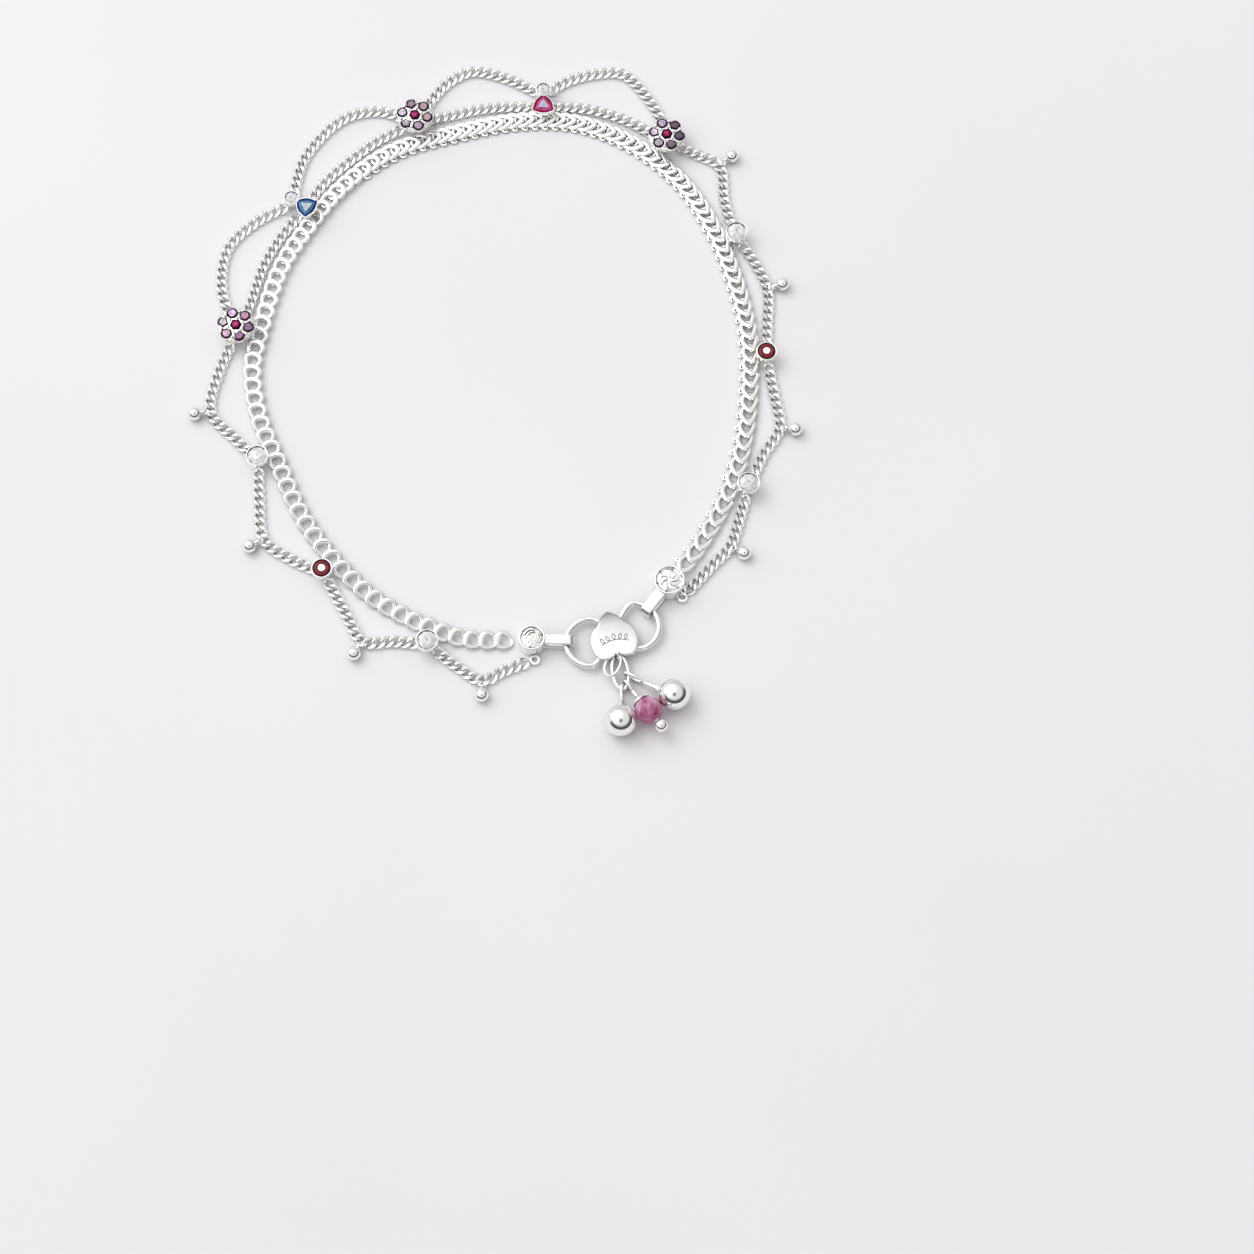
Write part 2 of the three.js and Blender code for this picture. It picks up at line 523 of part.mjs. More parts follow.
// An oval jump ring in the bail, and the two balls and the bead that hang on it
function addCharms(bailPoint) {
  const turn = degrees(RING_TURN);
  const along = new THREE.Vector3(Math.cos(turn), Math.sin(turn), 0);
  const across = new THREE.Vector3(-along.y, along.x, 0);
  const half = (RING_LENGTH - RING_WIRE) / 2;
  const centre = bailPoint.clone().addScaledVector(along, half);
  const body = solid(ring(RING_LENGTH, RING_WIDTH, RING_WIRE));
  addPiece('jump_ring', body, silver, centre.toArray(), turn);

  const onRing = (angle) => centre.clone()
    .addScaledVector(along, half * Math.cos(degrees(angle)))
    .addScaledVector(across, ((RING_WIDTH - RING_WIRE) / 2) * Math.sin(degrees(angle)));

  for (const { name, seat, bearing, reach, eye } of BALLS) {
    const ball = new THREE.SphereGeometry(CHARM_RADIUS, BALL_SIDES, BALL_BANDS).rotateX(Math.PI / 2);
    ball.translate(reach, 0, CHARM_RADIUS - ringLevel);
    const neck = rod(CHARM_WIRE / 2, eye - charmLoop / 2 - CHARM_WIRE, reach - CHARM_RADIUS * NECK_DEPTH);
    const charm = joined([charmEye(eye), neck, solid(ball)]);
    addPiece(name, charm, silver, onRing(seat).toArray(), degrees(bearing));
  }

  // The bead turns on its headpin, whose axis rises from the ring to the bead's middle
  const { reach } = BEAD;
  const seat = onRing(BEAD.seat).toArray();
  const bearing = degrees(BEAD.bearing);
  const rise = THREE.MathUtils.radToDeg(Math.asin((BEAD_RADIUS - ringLevel) / reach));
  const near = reach - BEAD_RADIUS - SEAT_GAP;
  const far = reach + BEAD_RADIUS + SEAT_GAP;
  const bead = new THREE.SphereGeometry(BEAD_RADIUS, BALL_SIDES, BALL_BANDS).rotateZ(Math.PI / 2);
  const drilled = solid(bead.translate(reach, 0, 0)).subtract(rod(BEAD_BORE, near, far));
  addPiece('charm_bead', drilled.rotate([0, -rise, 0]), pinkGlass, seat, bearing);
  const cap = disc(CAP_RADIUS, near - CAP_THICKNESS, near).rotateY(Math.PI / 2);
  const end = new THREE.SphereGeometry(PIN_BALL, ROUND_SIDES, SMALL_BALL_BANDS).rotateZ(Math.PI / 2);
  const pin = rod(PIN_RADIUS, charmLoop / 2 + SEAT_GAP, far + PIN_BALL);
  const knob = solid(end.translate(far + PIN_BALL, 0, 0));
  const headpin = joined([charmEye(charmLoop * EYE_STRETCH), pin, solid(cap), knob]);
  addPiece('headpin', headpin.rotate([0, -rise, 0]), silver, seat, bearing);
}

// Fine chains between two anchors, trimmed clear of both feet
function addCurb(name, from, to, points) {
  const a = anchors[from];
  const b = anchors[to];
  const level = CURB_THICKNESS / 2;
  const route = [a.point, ...points.map(([along, out]) => place(along, out).point), b.point];
  const curve = new THREE.CatmullRomCurve3(route.map(({ x, y }) => new THREE.Vector3(x, y, level)));
  const length = curve.getLength();
  const start = (a.radius + CLEAR * 2) / length;
  const end = 1 - (b.radius + CLEAR * 2) / length;
  const steps = 2 * Math.ceil(((end - start) * length) / (2 * CURB_STEP * CURB_WIDTH));
  addPiece(name, solid(tube(curve, CURB_WIDTH, CURB_THICKNESS, CURB_SIDES, steps, start, end)), silver);
}

// A ball with a small lug towards the festoon's corner
function addDrop(name, corner) {
  const gap = CURB_WIDTH / 2 + CLEAR + DROP_LUG;
  const { point, heading } = place(corner[0], corner[1] + gap + DROP_RADIUS, DROP_RADIUS);
  const ball = new THREE.SphereGeometry(DROP_RADIUS, ROUND_SIDES, SMALL_BALL_BANDS).rotateX(Math.PI / 2);
  const lug = rod(DROP_LUG, -DROP_RADIUS - DROP_LUG, 0);
  addPiece(name, solid(ball).add(lug), silver, point.toArray(), heading + Math.PI / 2);
}

const anchors = {};
const MEETING = STATIONS.find(({ name }) => name === 'flower_top').along;
const meetingGap = CLEAR / 2 / mainLength;
addPiece('main_chain_left', chainPart(0, MEETING - meetingGap), silver);
addPiece('main_chain_right', chainPart(MEETING + meetingGap, 1), silver);

for (const station of STATIONS) {
  if (station.kind === 'clear') addClear(station);
  if (station.kind === 'red') addRed(station);
  if (station.kind === 'flower') addFlower(station);
  if (station.kind === 'triangle') addTriangle(station, station.name === 'blue' ? blueStone : rubyStone);
}

const endShare = (END_RADIUS + END_GAP) / mainLength;
const leftLoop = addEnd('end_left', -endShare);
const rightLoop = addEnd('end_right', 1 + endShare);
addCharms(addHook(leftLoop, rightLoop));

for (const { name, from, to, points } of CURB_ROUTES) addCurb(name, from, to, points);
for (const { number, from, to, points } of FESTOONS) {
  addCurb(`festoon_${number}`, from, to, points);
  addDrop(`drop_${number}`, points[1]);
}

// The origin goes to the middle of the underside
const box = new THREE.Box3().setFromObject(anklet, true);
anklet.position.set(-(box.min.x + box.max.x) / 2, -(box.min.y + box.max.y) / 2, -box.min.z);

export default anklet;
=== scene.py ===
"""Looks of a payal anklet that lies on a pale floor: linked chains, cut stones, clasp and charms.

Lengths are in millimetres until a piece becomes a Blender mesh, which is in metres.
"""
import json
import math

import bmesh
import bpy
import numpy as np
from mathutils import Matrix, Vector

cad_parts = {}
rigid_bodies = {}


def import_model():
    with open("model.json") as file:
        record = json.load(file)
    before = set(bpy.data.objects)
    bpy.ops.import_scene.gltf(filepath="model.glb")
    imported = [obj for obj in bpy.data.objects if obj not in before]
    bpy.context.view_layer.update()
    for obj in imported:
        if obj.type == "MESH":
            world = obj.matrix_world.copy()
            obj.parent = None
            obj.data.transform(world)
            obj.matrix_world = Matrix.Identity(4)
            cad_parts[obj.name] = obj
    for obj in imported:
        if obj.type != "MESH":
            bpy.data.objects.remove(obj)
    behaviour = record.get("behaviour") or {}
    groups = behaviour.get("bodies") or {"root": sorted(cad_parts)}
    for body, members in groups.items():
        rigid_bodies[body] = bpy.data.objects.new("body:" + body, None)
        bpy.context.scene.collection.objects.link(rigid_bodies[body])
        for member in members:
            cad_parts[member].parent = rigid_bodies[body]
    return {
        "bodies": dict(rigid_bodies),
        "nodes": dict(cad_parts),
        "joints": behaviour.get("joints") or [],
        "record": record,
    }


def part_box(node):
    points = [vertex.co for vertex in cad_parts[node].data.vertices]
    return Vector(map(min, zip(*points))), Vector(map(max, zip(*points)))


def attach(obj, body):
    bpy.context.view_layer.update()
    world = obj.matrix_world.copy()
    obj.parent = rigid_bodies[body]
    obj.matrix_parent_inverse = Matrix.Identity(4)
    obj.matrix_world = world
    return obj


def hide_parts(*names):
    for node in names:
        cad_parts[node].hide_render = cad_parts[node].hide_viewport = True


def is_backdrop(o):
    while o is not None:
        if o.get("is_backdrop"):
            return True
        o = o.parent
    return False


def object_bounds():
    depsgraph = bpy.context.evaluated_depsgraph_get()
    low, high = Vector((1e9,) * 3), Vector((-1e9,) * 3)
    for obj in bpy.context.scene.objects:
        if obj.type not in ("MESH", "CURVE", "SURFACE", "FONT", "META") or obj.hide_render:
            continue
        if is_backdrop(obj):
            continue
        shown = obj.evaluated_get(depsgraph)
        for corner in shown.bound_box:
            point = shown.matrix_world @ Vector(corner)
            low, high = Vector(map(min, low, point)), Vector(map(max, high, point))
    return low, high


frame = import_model()
cad_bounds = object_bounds()
MM = 0.001
UP = np.array([0.0, 0.0, 1.0])

# The main chain's route and its stations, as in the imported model
MAIN_ROUTE = [
    (2.4, -47), (-5.8, -46.7), (-12, -44.6), (-20.9, -39.8), (-28.5, -32.4), (-34, -24.6),
    (-38.5, -14.6), (-42.2, -5.6), (-43.5, 3), (-42.1, 11.5), (-39.6, 21.4), (-36, 28.4),
    (-29, 38.1), (-20.5, 45), (-9, 48.9), (2, 51.2), (12, 50.8), (21.5, 46.9), (30.5, 39.2),
    (35.8, 30.6), (39.2, 21.9), (41.8, 11), (42.1, 0), (40.7, -11.8), (37.6, -21.6),
    (32.8, -30.4), (29.7, -34.6),
]
STATIONS = {
    "clear_low_left": ("clear", 0.053), "red_left": ("red", 0.134), "clear_left": ("clear", 0.222),
    "flower_left": ("flower", 0.311), "blue": ("triangle", 0.407), "flower_top": ("flower", 0.501),
    "ruby": ("triangle", 0.586), "flower_right": ("flower", 0.668), "clear_right": ("clear", 0.749),
    "red_right": ("red", 0.836), "clear_low_right": ("clear", 0.928),
}

# How far each kind of station stands outside the chain's middle, and its foot's radius
STATION_OUT = {"clear": 2.8, "red": 2.7, "flower": 3.7, "triangle": 1.5}
FOOT_RADIUS = {"clear": 1.1, "red": 1.0, "flower": 2.0, "triangle": 0.7}
TRIANGLE_FOOT_OUT = 2.4
TRIANGLE_ROUND_OUT = 4.7

# Fine chains: chosen points as (share of the main chain, distance outside it)
INNER_OUT = 2.9
CURB_ROUTES = {
    "curb_inner_1": ("flower_left", "blue", [(0.333, INNER_OUT), (0.36, INNER_OUT), (0.383, INNER_OUT)]),
    "curb_inner_2": ("blue", "flower_top", [(0.43, INNER_OUT), (0.455, INNER_OUT), (0.478, 3.2)]),
    "curb_inner_3": ("flower_top", "ruby", [(0.525, 3.5), (0.545, 3.4), (0.565, INNER_OUT)]),
    "curb_inner_4": ("ruby", "flower_right", [(0.607, INNER_OUT), (0.625, 3.2), (0.643, 3.4)]),
    "curb_outer_1": ("flower_left", "blue_round", [(0.325, 6.4), (0.341, 8.7), (0.364, 10.1), (0.386, 8)]),
    "curb_outer_2": ("blue_round", "flower_top", [(0.424, 7.4), (0.438, 9.2), (0.466, 10.3), (0.484, 8.3)]),
    "curb_outer_3": ("flower_top", "ruby_round", [(0.516, 7.7), (0.53, 10.2), (0.546, 11.2), (0.565, 8.6)]),
    "curb_outer_4": ("ruby_round", "flower_right",
                     [(0.597, 7.6), (0.61, 10), (0.625, 11.7), (0.642, 9.3), (0.655, 6.9)]),
    "festoon_1": ("end_left", "clear_low_left", [(0.008, 5.2), (0.02, 6.9), (0.033, 4.9)]),
    "festoon_2": ("clear_low_left", "red_left", [(0.073, 4.6), (0.088, 7.1), (0.107, 4.7)]),
    "festoon_3": ("red_left", "clear_left", [(0.154, 5.5), (0.172, 7.4), (0.195, 5.3)]),
    "festoon_4": ("clear_left", "flower_left", [(0.243, 5), (0.262, 7.7), (0.286, 5.6)]),
    "festoon_5": ("flower_right", "clear_right", [(0.688, 5.6), (0.701, 7.1), (0.722, 4.1)]),
    "festoon_6": ("clear_right", "red_right", [(0.77, 4.2), (0.79, 4.8), (0.812, 3.5)]),
    "festoon_7": ("red_right", "clear_low_right", [(0.863, 4.2), (0.885, 5.6), (0.903, 3.7)]),
    "festoon_8": ("clear_low_right", "end_right", [(0.952, 3.7), (0.968, 4.5), (0.983, 3.7)]),
}

# Main links: outer size, band, mean pitch, and how much closer they lie about one place
LINK_LENGTH = 3.6
LINK_WIDTH = 3.4
LINK_BAND = 0.98
LINK_HEIGHT = 0.66
LINK_TAPER = 0.36
LINK_THINNING = 0.2
LINK_PITCH = 2.23
LINK_CROWDING = 0.17
CROWDED_AT = 0.58
LINK_TILT = math.asin(LINK_HEIGHT / LINK_PITCH) * 0.88
LINK_LIFT = 0.05
LINK_STEPS, LINK_SIDES = 36, 10

# Between these shares of the chain the horseshoes turn into chevrons, and their lean in degrees
# goes from inwards to outwards
CHEVRON_ALONG, CHEVRON_MOST = (0.38, 0.55), 0.9
CHEVRON_LONGER = 0.85
CHEVRON_THINNER = 0.1
CHEVRON_FLATTER = 0.2
CHEVRON_SPREAD = 0.77
LEAN_ALONG, LINK_LEANS = (0.36, 0.65), (22, -6)

# From this share on the chain is rolled a little, so undersides of links show along its inner edge
UNDER_FROM = 0.45
UNDER_LINK = {"length": 1.5, "width": 1.05, "wire": 0.44, "out": -1.45, "lean": 32, "lift": 0.36}
UNDER_STEPS, UNDER_SIDES = 16, 7

# Fine links: outer length and width, wire, twist of the leading end in degrees, pitch, and half
# of the height that the flattened top and underside leave
CURB_LINK = {"length": 2.6, "width": 2.15, "wire": 0.5, "twist": -52, "pitch": 1.5, "cut": 0.5}
CURB_STEPS, CURB_SIDES = 18, 7

# Levels of the settings above the floor
DECK = 1.9
CLEAR_TOP = 3.2
RED_TOP = 3.0
GALLERY_TOP = 2.9
PETAL_TOP = 3.7
FLOWER_TOP = 3.88
SEAT_DEPTH = 0.75

# The claws of a three-cornered setting stand this far from its corners, in degrees
CLAW_SIDE = math.degrees(0.17)

# Flowers: six petal stones of uneven outline, at this distance from the middle
PETAL_OUT = 2.25
PETAL_SIDES = (5, 7, 5, 8, 6, 7)
PETAL_WOBBLE = 0.07


def catmull_rom(points, fineness=40):
    """Closely spaced points on the smooth curve through the given ones."""
    p = np.array(points, float)
    padded = np.vstack([2 * p[0] - p[1], p, 2 * p[-1] - p[-2]])
    t = np.linspace(0, 1, fineness, endpoint=False)[:, None]
    pieces = []
    for a, b, c, d in zip(padded, padded[1:], padded[2:], padded[3:]):
        before, gap, after = (math.sqrt(np.linalg.norm(v)) for v in (b - a, c - b, d - c))
        start = gap * ((b - a) / before - (c - a) / (before + gap) + (c - b) / gap)
        stop = gap * ((c - b) / gap - (d - b) / (gap + after) + (d - c) / after)
        square = 3 * (c - b) - 2 * start - stop
        cube = 2 * (b - c) + start + stop
        pieces.append(b + start * t + square * t**2 + cube * t**3)
    pieces.append(p[-1:])
    return np.vstack(pieces)


class Route:
    """A smooth curve on the floor, walked by distance."""

    def __init__(self, points):
        self.points = catmull_rom(points)
        steps = np.linalg.norm(np.diff(self.points, axis=0), axis=1)
        self.distances = np.concatenate([[0], np.cumsum(steps)])
        self.length = self.distances[-1]

    def at(self, distance):
        return np.array([np.interp(distance, self.distances, axis) for axis in self.points.T])

    def heading(self, distance):
        near = np.clip(distance, 0.3, self.length - 0.3)
        step = self.at(near + 0.3) - self.at(near - 0.3)
        return math.atan2(step[1], step[0])


main_route = Route(MAIN_ROUTE)


def polar(radius, angle):
    return radius * np.array([math.cos(angle), math.sin(angle)])


def place_on_route(along, out):
    """The place beside the chain at a share of its length, in the route's own frame."""
    share = min(max(along, 0), 1) * main_route.length
    heading = main_route.heading(share)
    beyond = along * main_route.length - share
    forwards = polar(1, heading)
    outwards = np.array([-forwards[1], forwards[0]])
    return main_route.at(share) + forwards * beyond + outwards * out, heading


def packed_place(node):
    """The middle of a node's box, seen from above."""
    low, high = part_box(node)
    return np.array((low + high) / 2)[:2] / MM


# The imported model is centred, so the route is moved to where one of its stations stands
SHIFT = (packed_place("collet_clear_left")
         - place_on_route(STATIONS["clear_left"][1], STATION_OUT["clear"])[0])


def place(along, out=0.0):
    point, heading = place_on_route(along, out)
    return point + SHIFT, heading


class Shape:
    """The points and faces of one piece, gathered part by part in a frame of its own.

    A look is the number of a material, and add takes one for the whole part or a list.
    """

    def __init__(self, at=(0, 0, 0), spin=np.eye(3)):
        self.at, self.spin = np.array(at, float), spin
        self.points, self.faces, self.looks = [], [], []
        self.count = 0

    def add(self, part, at=(0, 0, 0), spin=np.eye(3), look=0):
        points, faces = part
        self.points.append((points @ spin.T + at) @ self.spin.T + self.at)
        self.faces += [tuple(corner + self.count for corner in face) for face in faces]
        self.looks += look if isinstance(look, list) else [look] * len(faces)
        self.count += len(points)


def about_x(angle):
    c, s = math.cos(angle), math.sin(angle)
    return np.array([[1, 0, 0], [0, c, -s], [0, s, c]])


def about_y(angle):
    c, s = math.cos(angle), math.sin(angle)
    return np.array([[c, 0, s], [0, 1, 0], [-s, 0, c]])


def about_z(angle):
    c, s = math.cos(angle), math.sin(angle)
    return np.array([[c, -s, 0], [s, c, 0], [0, 0, 1]])


def local(at, spin, x, y=0.0, z=0.0):
    """Where a point of a frame lies."""
    return at + spin @ (x, y, z)


def around(radius, degrees, height=0.0):
    return (*polar(radius, math.radians(degrees)), height)


def unit(vectors):
    return vectors / np.linalg.norm(vectors, axis=-1, keepdims=True)


def tube_faces(rows, sides, closed):
    """Quads between rings of points, with a cap on each end of an open tube."""
    faces = []
    for row in range(rows if closed else rows - 1):
        here, there = row * sides, (row + 1) % rows * sides
        for i in range(sides):
            j = (i + 1) % sides
            faces.append((here + i, here + j, there + j, there + i))
    if not closed:
        faces.append(tuple(range(sides))[::-1])
        faces.append(tuple(range((rows - 1) * sides, rows * sides)))
    return faces


def sweep(path, width, height, sides=12, closed=False, up=UP, square=1.0, sizes=None):
    """Wire along a path: width across it, height along up; square below 1 flattens the sides."""
    path = np.array(path, float)
    if closed:
        along = unit(np.roll(path, -1, 0) - np.roll(path, 1, 0))
    else:
        along = unit(np.gradient(path, axis=0))
    across = unit(np.cross(np.broadcast_to(up, path.shape), along))
    lift = np.cross(along, across)
    angles = (np.arange(sides) + 0.5) * 2 * math.pi / sides
    flat_x = np.sign(np.cos(angles)) * np.abs(np.cos(angles)) ** square * width / 2
    flat_y = np.sign(np.sin(angles)) * np.abs(np.sin(angles)) ** square * height / 2
    scale = np.ones(len(path)) if sizes is None else np.array(sizes, float)
    offsets = across[:, None] * flat_x[None, :, None] + lift[:, None] * flat_y[None, :, None]
    points = path[:, None] + offsets * scale[:, None, None]
    return points.reshape(-1, 3), tube_faces(len(path), sides, closed)


def round_wire(path, diameter, sides=14):
    """Round wire whose two ends are rounded off."""
    path = np.array(path, float)
    bulge = np.array([0.05, 0.35, 0.65, 0.9])
    first = unit(path[0] - path[1]) * diameter / 2
    last = unit(path[-1] - path[-2]) * diameter / 2
    start = [path[0] + first * math.cos(math.asin(size)) for size in bulge]
    stop = [path[-1] + last * math.cos(math.asin(size)) for size in bulge[::-1]]
    sizes = [*bulge, *np.ones(len(path)), *bulge[::-1]]
    return sweep(np.vstack([start, path, stop]), diameter, diameter, sides, sizes=sizes)


def triangle_form(angles, sharp):
    """How far a three-cornered outline reaches: 1 at its corners, less between them."""
    wrapped = np.mod(angles, 2 * math.pi / 3) - math.pi / 3
    return 1 - sharp + sharp * 0.5 / np.cos(wrapped)


def skin(rings):
    """The surface through rings of as many points each, where a ring of one point is a tip."""
    sides = max(len(ring) for ring in rings)
    rows, first = [], 0
    for ring in rings:
        rows.append([first] * sides if len(ring) == 1 else list(range(first, first + sides)))
        first += len(ring)
    faces = []
    for low, high in zip(rows, rows[1:]):
        for i in range(sides):
            j = (i + 1) % sides
            faces.append(tuple(dict.fromkeys((low[i], low[j], high[j], high[i]))))
    return np.vstack(rings), faces


def turned(profile, sides=40, form=None):
    """A turned body about Z, from a profile of (radius, height); form makes it other than round."""
    angles = np.arange(sides) * 2 * math.pi / sides
    outline = np.column_stack([np.cos(angles), np.sin(angles)])
    if form:
        outline *= form(angles)[:, None]
    rings = []
    for radius, height in profile:
        ring = outline * radius if radius else np.zeros((1, 2))
        rings.append(np.insert(ring, 2, height, axis=1))
    return skin(rings)


def closed_profile(profile, sides=40):
    """A turned ring whose profile closes on itself."""
    return turned([*profile, profile[0]], sides)


def disc(radius, low, high, sides):
    """A round rod or disc that stands along Z."""
    return turned([(0, low), (radius, low), (radius, high), (0, high)], sides)


def arc(centre, radius, start, stop, count):
    """Points (x, z) on an arc, angles in degrees."""
    angles = np.radians(np.linspace(start, stop, count))
    return [(centre[0] + radius * math.cos(a), centre[1] + radius * math.sin(a)) for a in angles]


def ball(radius, sides, bands):
    profile = [(max(x, 0), z) for x, z in arc((0, 0), radius, -90, 90, bands + 1)]
    profile[0], profile[-1] = (0, -radius), (0, radius)
    return turned(profile, sides)


def torus(radius, wire, sides):
    return closed_profile(arc((radius, 0), wire / 2, 0, 315, 8), sides)


def loop_path(length, width, wire, steps, taper=0.0, pointed=0.0):
    """The middle line of a closed lying link of the given outer size.

    taper narrows its -X end, and pointed, up to 1, brings its +X end to a point.
    """
    angles = np.arange(steps) * 2 * math.pi / steps
    blunt = 1 + taper * np.cos(angles)
    chevron = np.sin(angles / 2) / CHEVRON_SPREAD
    x = (length - wire) / 2 * np.cos(angles)
    y = (width - wire) / 2 * np.sin(angles) * (blunt + (chevron - blunt) * pointed)
    return np.stack([x, y, 0 * x], axis=1)


def wire_loop(length, width, wire, steps, sides):
    """A closed lying loop of round wire."""
    return sweep(loop_path(length, width, wire, steps), wire, wire, sides, closed=True)


def stepped_stone(rings, sides, form=None):
    """Facets between level polygons (radius, height, half turn or not), from the table down."""
    points = []
    for row, (radius, height, half) in enumerate(rings):
        for i in range(sides):
            angle = (i + 0.5 * half) * 2 * math.pi / sides
            reach = radius * (form(angle, row) if form else 1)
            points.append((reach * math.cos(angle), reach * math.sin(angle), height))
    points = np.array(points, float)
    faces = [tuple(range(sides))]
    for row in range(len(rings) - 1):
        here, there = row * sides, (row + 1) * sides
        same = rings[row][2] == rings[row + 1][2]
        for i in range(sides):
            j = (i + 1) % sides
            if same:
                faces.append((here + i, there + i, there + j, here + j))
            elif rings[row + 1][2]:
                faces.append((here + i, there + i, here + j))
                faces.append((there + i, there + j, here + j))
            else:
                faces.append((here + i, there + i, there + j))
                faces.append((here + i, there + j, here + j))
    last = (len(rings) - 1) * sides
    faces.append(tuple(range(last + sides - 1, last - 1, -1)))
    return points, faces


def make_piece(name, shape, materials, replaced, flat=False, edge=40):
    """The Blender object of a shape, in metres, riding on the anklet's one body."""
    mesh = bpy.data.meshes.new(name)
    mesh.from_pydata(np.vstack(shape.points) * MM, [], shape.faces)
    mesh.polygons.foreach_set("material_index", shape.looks)
    mesh.polygons.foreach_set("use_smooth", [not flat] * len(mesh.polygons))
    for material in materials:
        mesh.materials.append(material)
    work = bmesh.new()
    work.from_mesh(mesh)
    bmesh.ops.recalc_face_normals(work, faces=work.faces)
    work.to_mesh(mesh)
    work.free()
    if not flat:
        mesh.set_sharp_from_angle(angle=math.radians(edge))
    piece = bpy.data.objects.new(name, mesh)
    bpy.context.scene.collection.objects.link(piece)
    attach(piece, "root")
    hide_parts(*replaced)


def fill(node, inputs):
    """Sets a shader node's inputs, or links those that are given as another node's socket."""
    for name, value in inputs.items():
        if isinstance(value, bpy.types.NodeSocket):
            node.id_data.links.new(value, node.inputs[name])
        else:
            node.inputs[name].default_value = value


def add_node(tree, kind, output, inputs, **options):
    """Adds a shader node and gives the named output of it."""
    node = tree.nodes.new("ShaderNode" + kind)
    for name, value in options.items():
        setattr(node, name, value)
    fill(node, inputs)
    return node.outputs[output]


def new_material(name):
    material = bpy.data.materials.new(name)
    material.use_nodes = True
    return material, material.node_tree, material.node_tree.nodes["Principled BSDF"]


def noise(tree, scale, detail=3.0, stretch=(1, 1, 1)):
    """Noise on the object's own coordinates, which are in metres."""
    spot = add_node(tree, "TexCoord", "Object", {})
    spot = add_node(tree, "Mapping", "Vector", {"Vector": spot, "Scale": stretch})
    return add_node(tree, "TexNoise", "Fac", {"Vector": spot, "Scale": scale, "Detail": detail})


def ramp(tree, source, stops):
    """The colour of a ramp from (position, colour) stops."""
    node = tree.nodes.new("ShaderNodeValToRGB")
    elements = node.color_ramp.elements
    while len(elements) < len(stops):
        elements.new(0.5)
    for element, (position, colour) in zip(elements, stops):
        element.position = position
        element.color = (*colour, 1)
    fill(node, {"Fac": source})
    return node.outputs["Color"]


def recesses(tree, samples, reach, stops):
    """A ramp by how open a place is, within reach in millimetres: 0 in a recess, 1 in the open. It paints
    shade into a colour.
    """
    open_share = add_node(tree, "AmbientOcclusion", "AO", {"Distance": reach * MM}, samples=samples)
    return ramp(tree, open_share, stops)


def towards(tree, source, direction):
    """How far a place or direction reaches towards the given direction."""
    inputs = {0: source, 1: Vector(direction).normalized()}
    return add_node(tree, "VectorMath", "Value", inputs, operation="DOT_PRODUCT")


def times(tree, one, other):
    return add_node(tree, "VectorMath", "Vector", {0: one, 1: other}, operation="MULTIPLY")


def silver_material(name, rough, colour=(0.95, 0.945, 0.93), grain=0.05, reach=0.6, open_from=0.44,
                    stretch=(1, 1, 1)):
    """Polished silver: uneven polish, a faint ripple, and a colour darkened by ambient occlusion in
    recesses and near other parts, partly tarnish and partly painted shade.
    """
    material, tree, shader = new_material(name)
    polish = noise(tree, 900, stretch=stretch)
    # Painted shade, partly tarnish: darker colours where ambient occlusion finds a place closed in
    recess = [c * share for c, share in zip(colour, (0.3, 0.27, 0.24))]
    between = [c * share for c, share in zip(colour, (0.74, 0.72, 0.7))]
    ripple = {"Height": noise(tree, 650, 2, stretch), "Strength": grain, "Distance": 0.1 * MM}
    fill(shader, {
        "Metallic": 1,
        "Roughness": add_node(tree, "MapRange", "Result",
                              {"Value": polish, "To Min": rough[0], "To Max": rough[1]}),
        "Base Color": recesses(tree, 6, reach, [(0.1, recess), (open_from * 0.6, between), (open_from, colour)]),
        "Normal": add_node(tree, "Bump", "Normal", ripple),
    })
    return material


def shade_along(material, direction, start, stop, share):
    """Paints shade into a material's colour along a direction, from start to stop in millimetres."""
    tree = material.node_tree
    base = tree.nodes["Principled BSDF"].inputs["Base Color"]
    reach = towards(tree, add_node(tree, "TexCoord", "Object", {}), direction)
    span = {"Value": reach, "From Min": start * MM, "From Max": stop * MM}
    shade = ramp(tree, add_node(tree, "MapRange", "Result", span), [(0, (1, 1, 1)), (1, [share] * 3)])
    tree.links.new(times(tree, base.links[0].from_socket, shade), base)


def gem_material(name, dark, light, rough=0.08, through=0.0, gloss=0.35, scale=1400):
    """Coloured glass or stone whose tone drifts between two colours."""
    material, tree, shader = new_material(name)
    tone = ramp(tree, noise(tree, scale, 2), [(0.35, dark), (0.65, light)])
    fill(shader, {"Base Color": tone, "Roughness": rough, "Specular IOR Level": gloss,
                  "Transmission Weight": through})
    return material


def pink_glass_material():
    """Rose glass with pale streaks spread by noise, which are painted highlights."""
    material, tree, shader = new_material("pink_glass")
    stops = [(0.34, (0.42, 0.05, 0.19)), (0.5, (0.74, 0.22, 0.45)), (0.66, (0.95, 0.6, 0.8))]
    tone = ramp(tree, noise(tree, 760, 3, (1.0, 0.45, 1.0)), stops)
    fill(shader, {"Base Color": tone, "Roughness": 0.08, "IOR": 1.5, "Transmission Weight": 0.5,
                  "Coat Weight": 0.3, "Coat Roughness": 0.03})
    return material


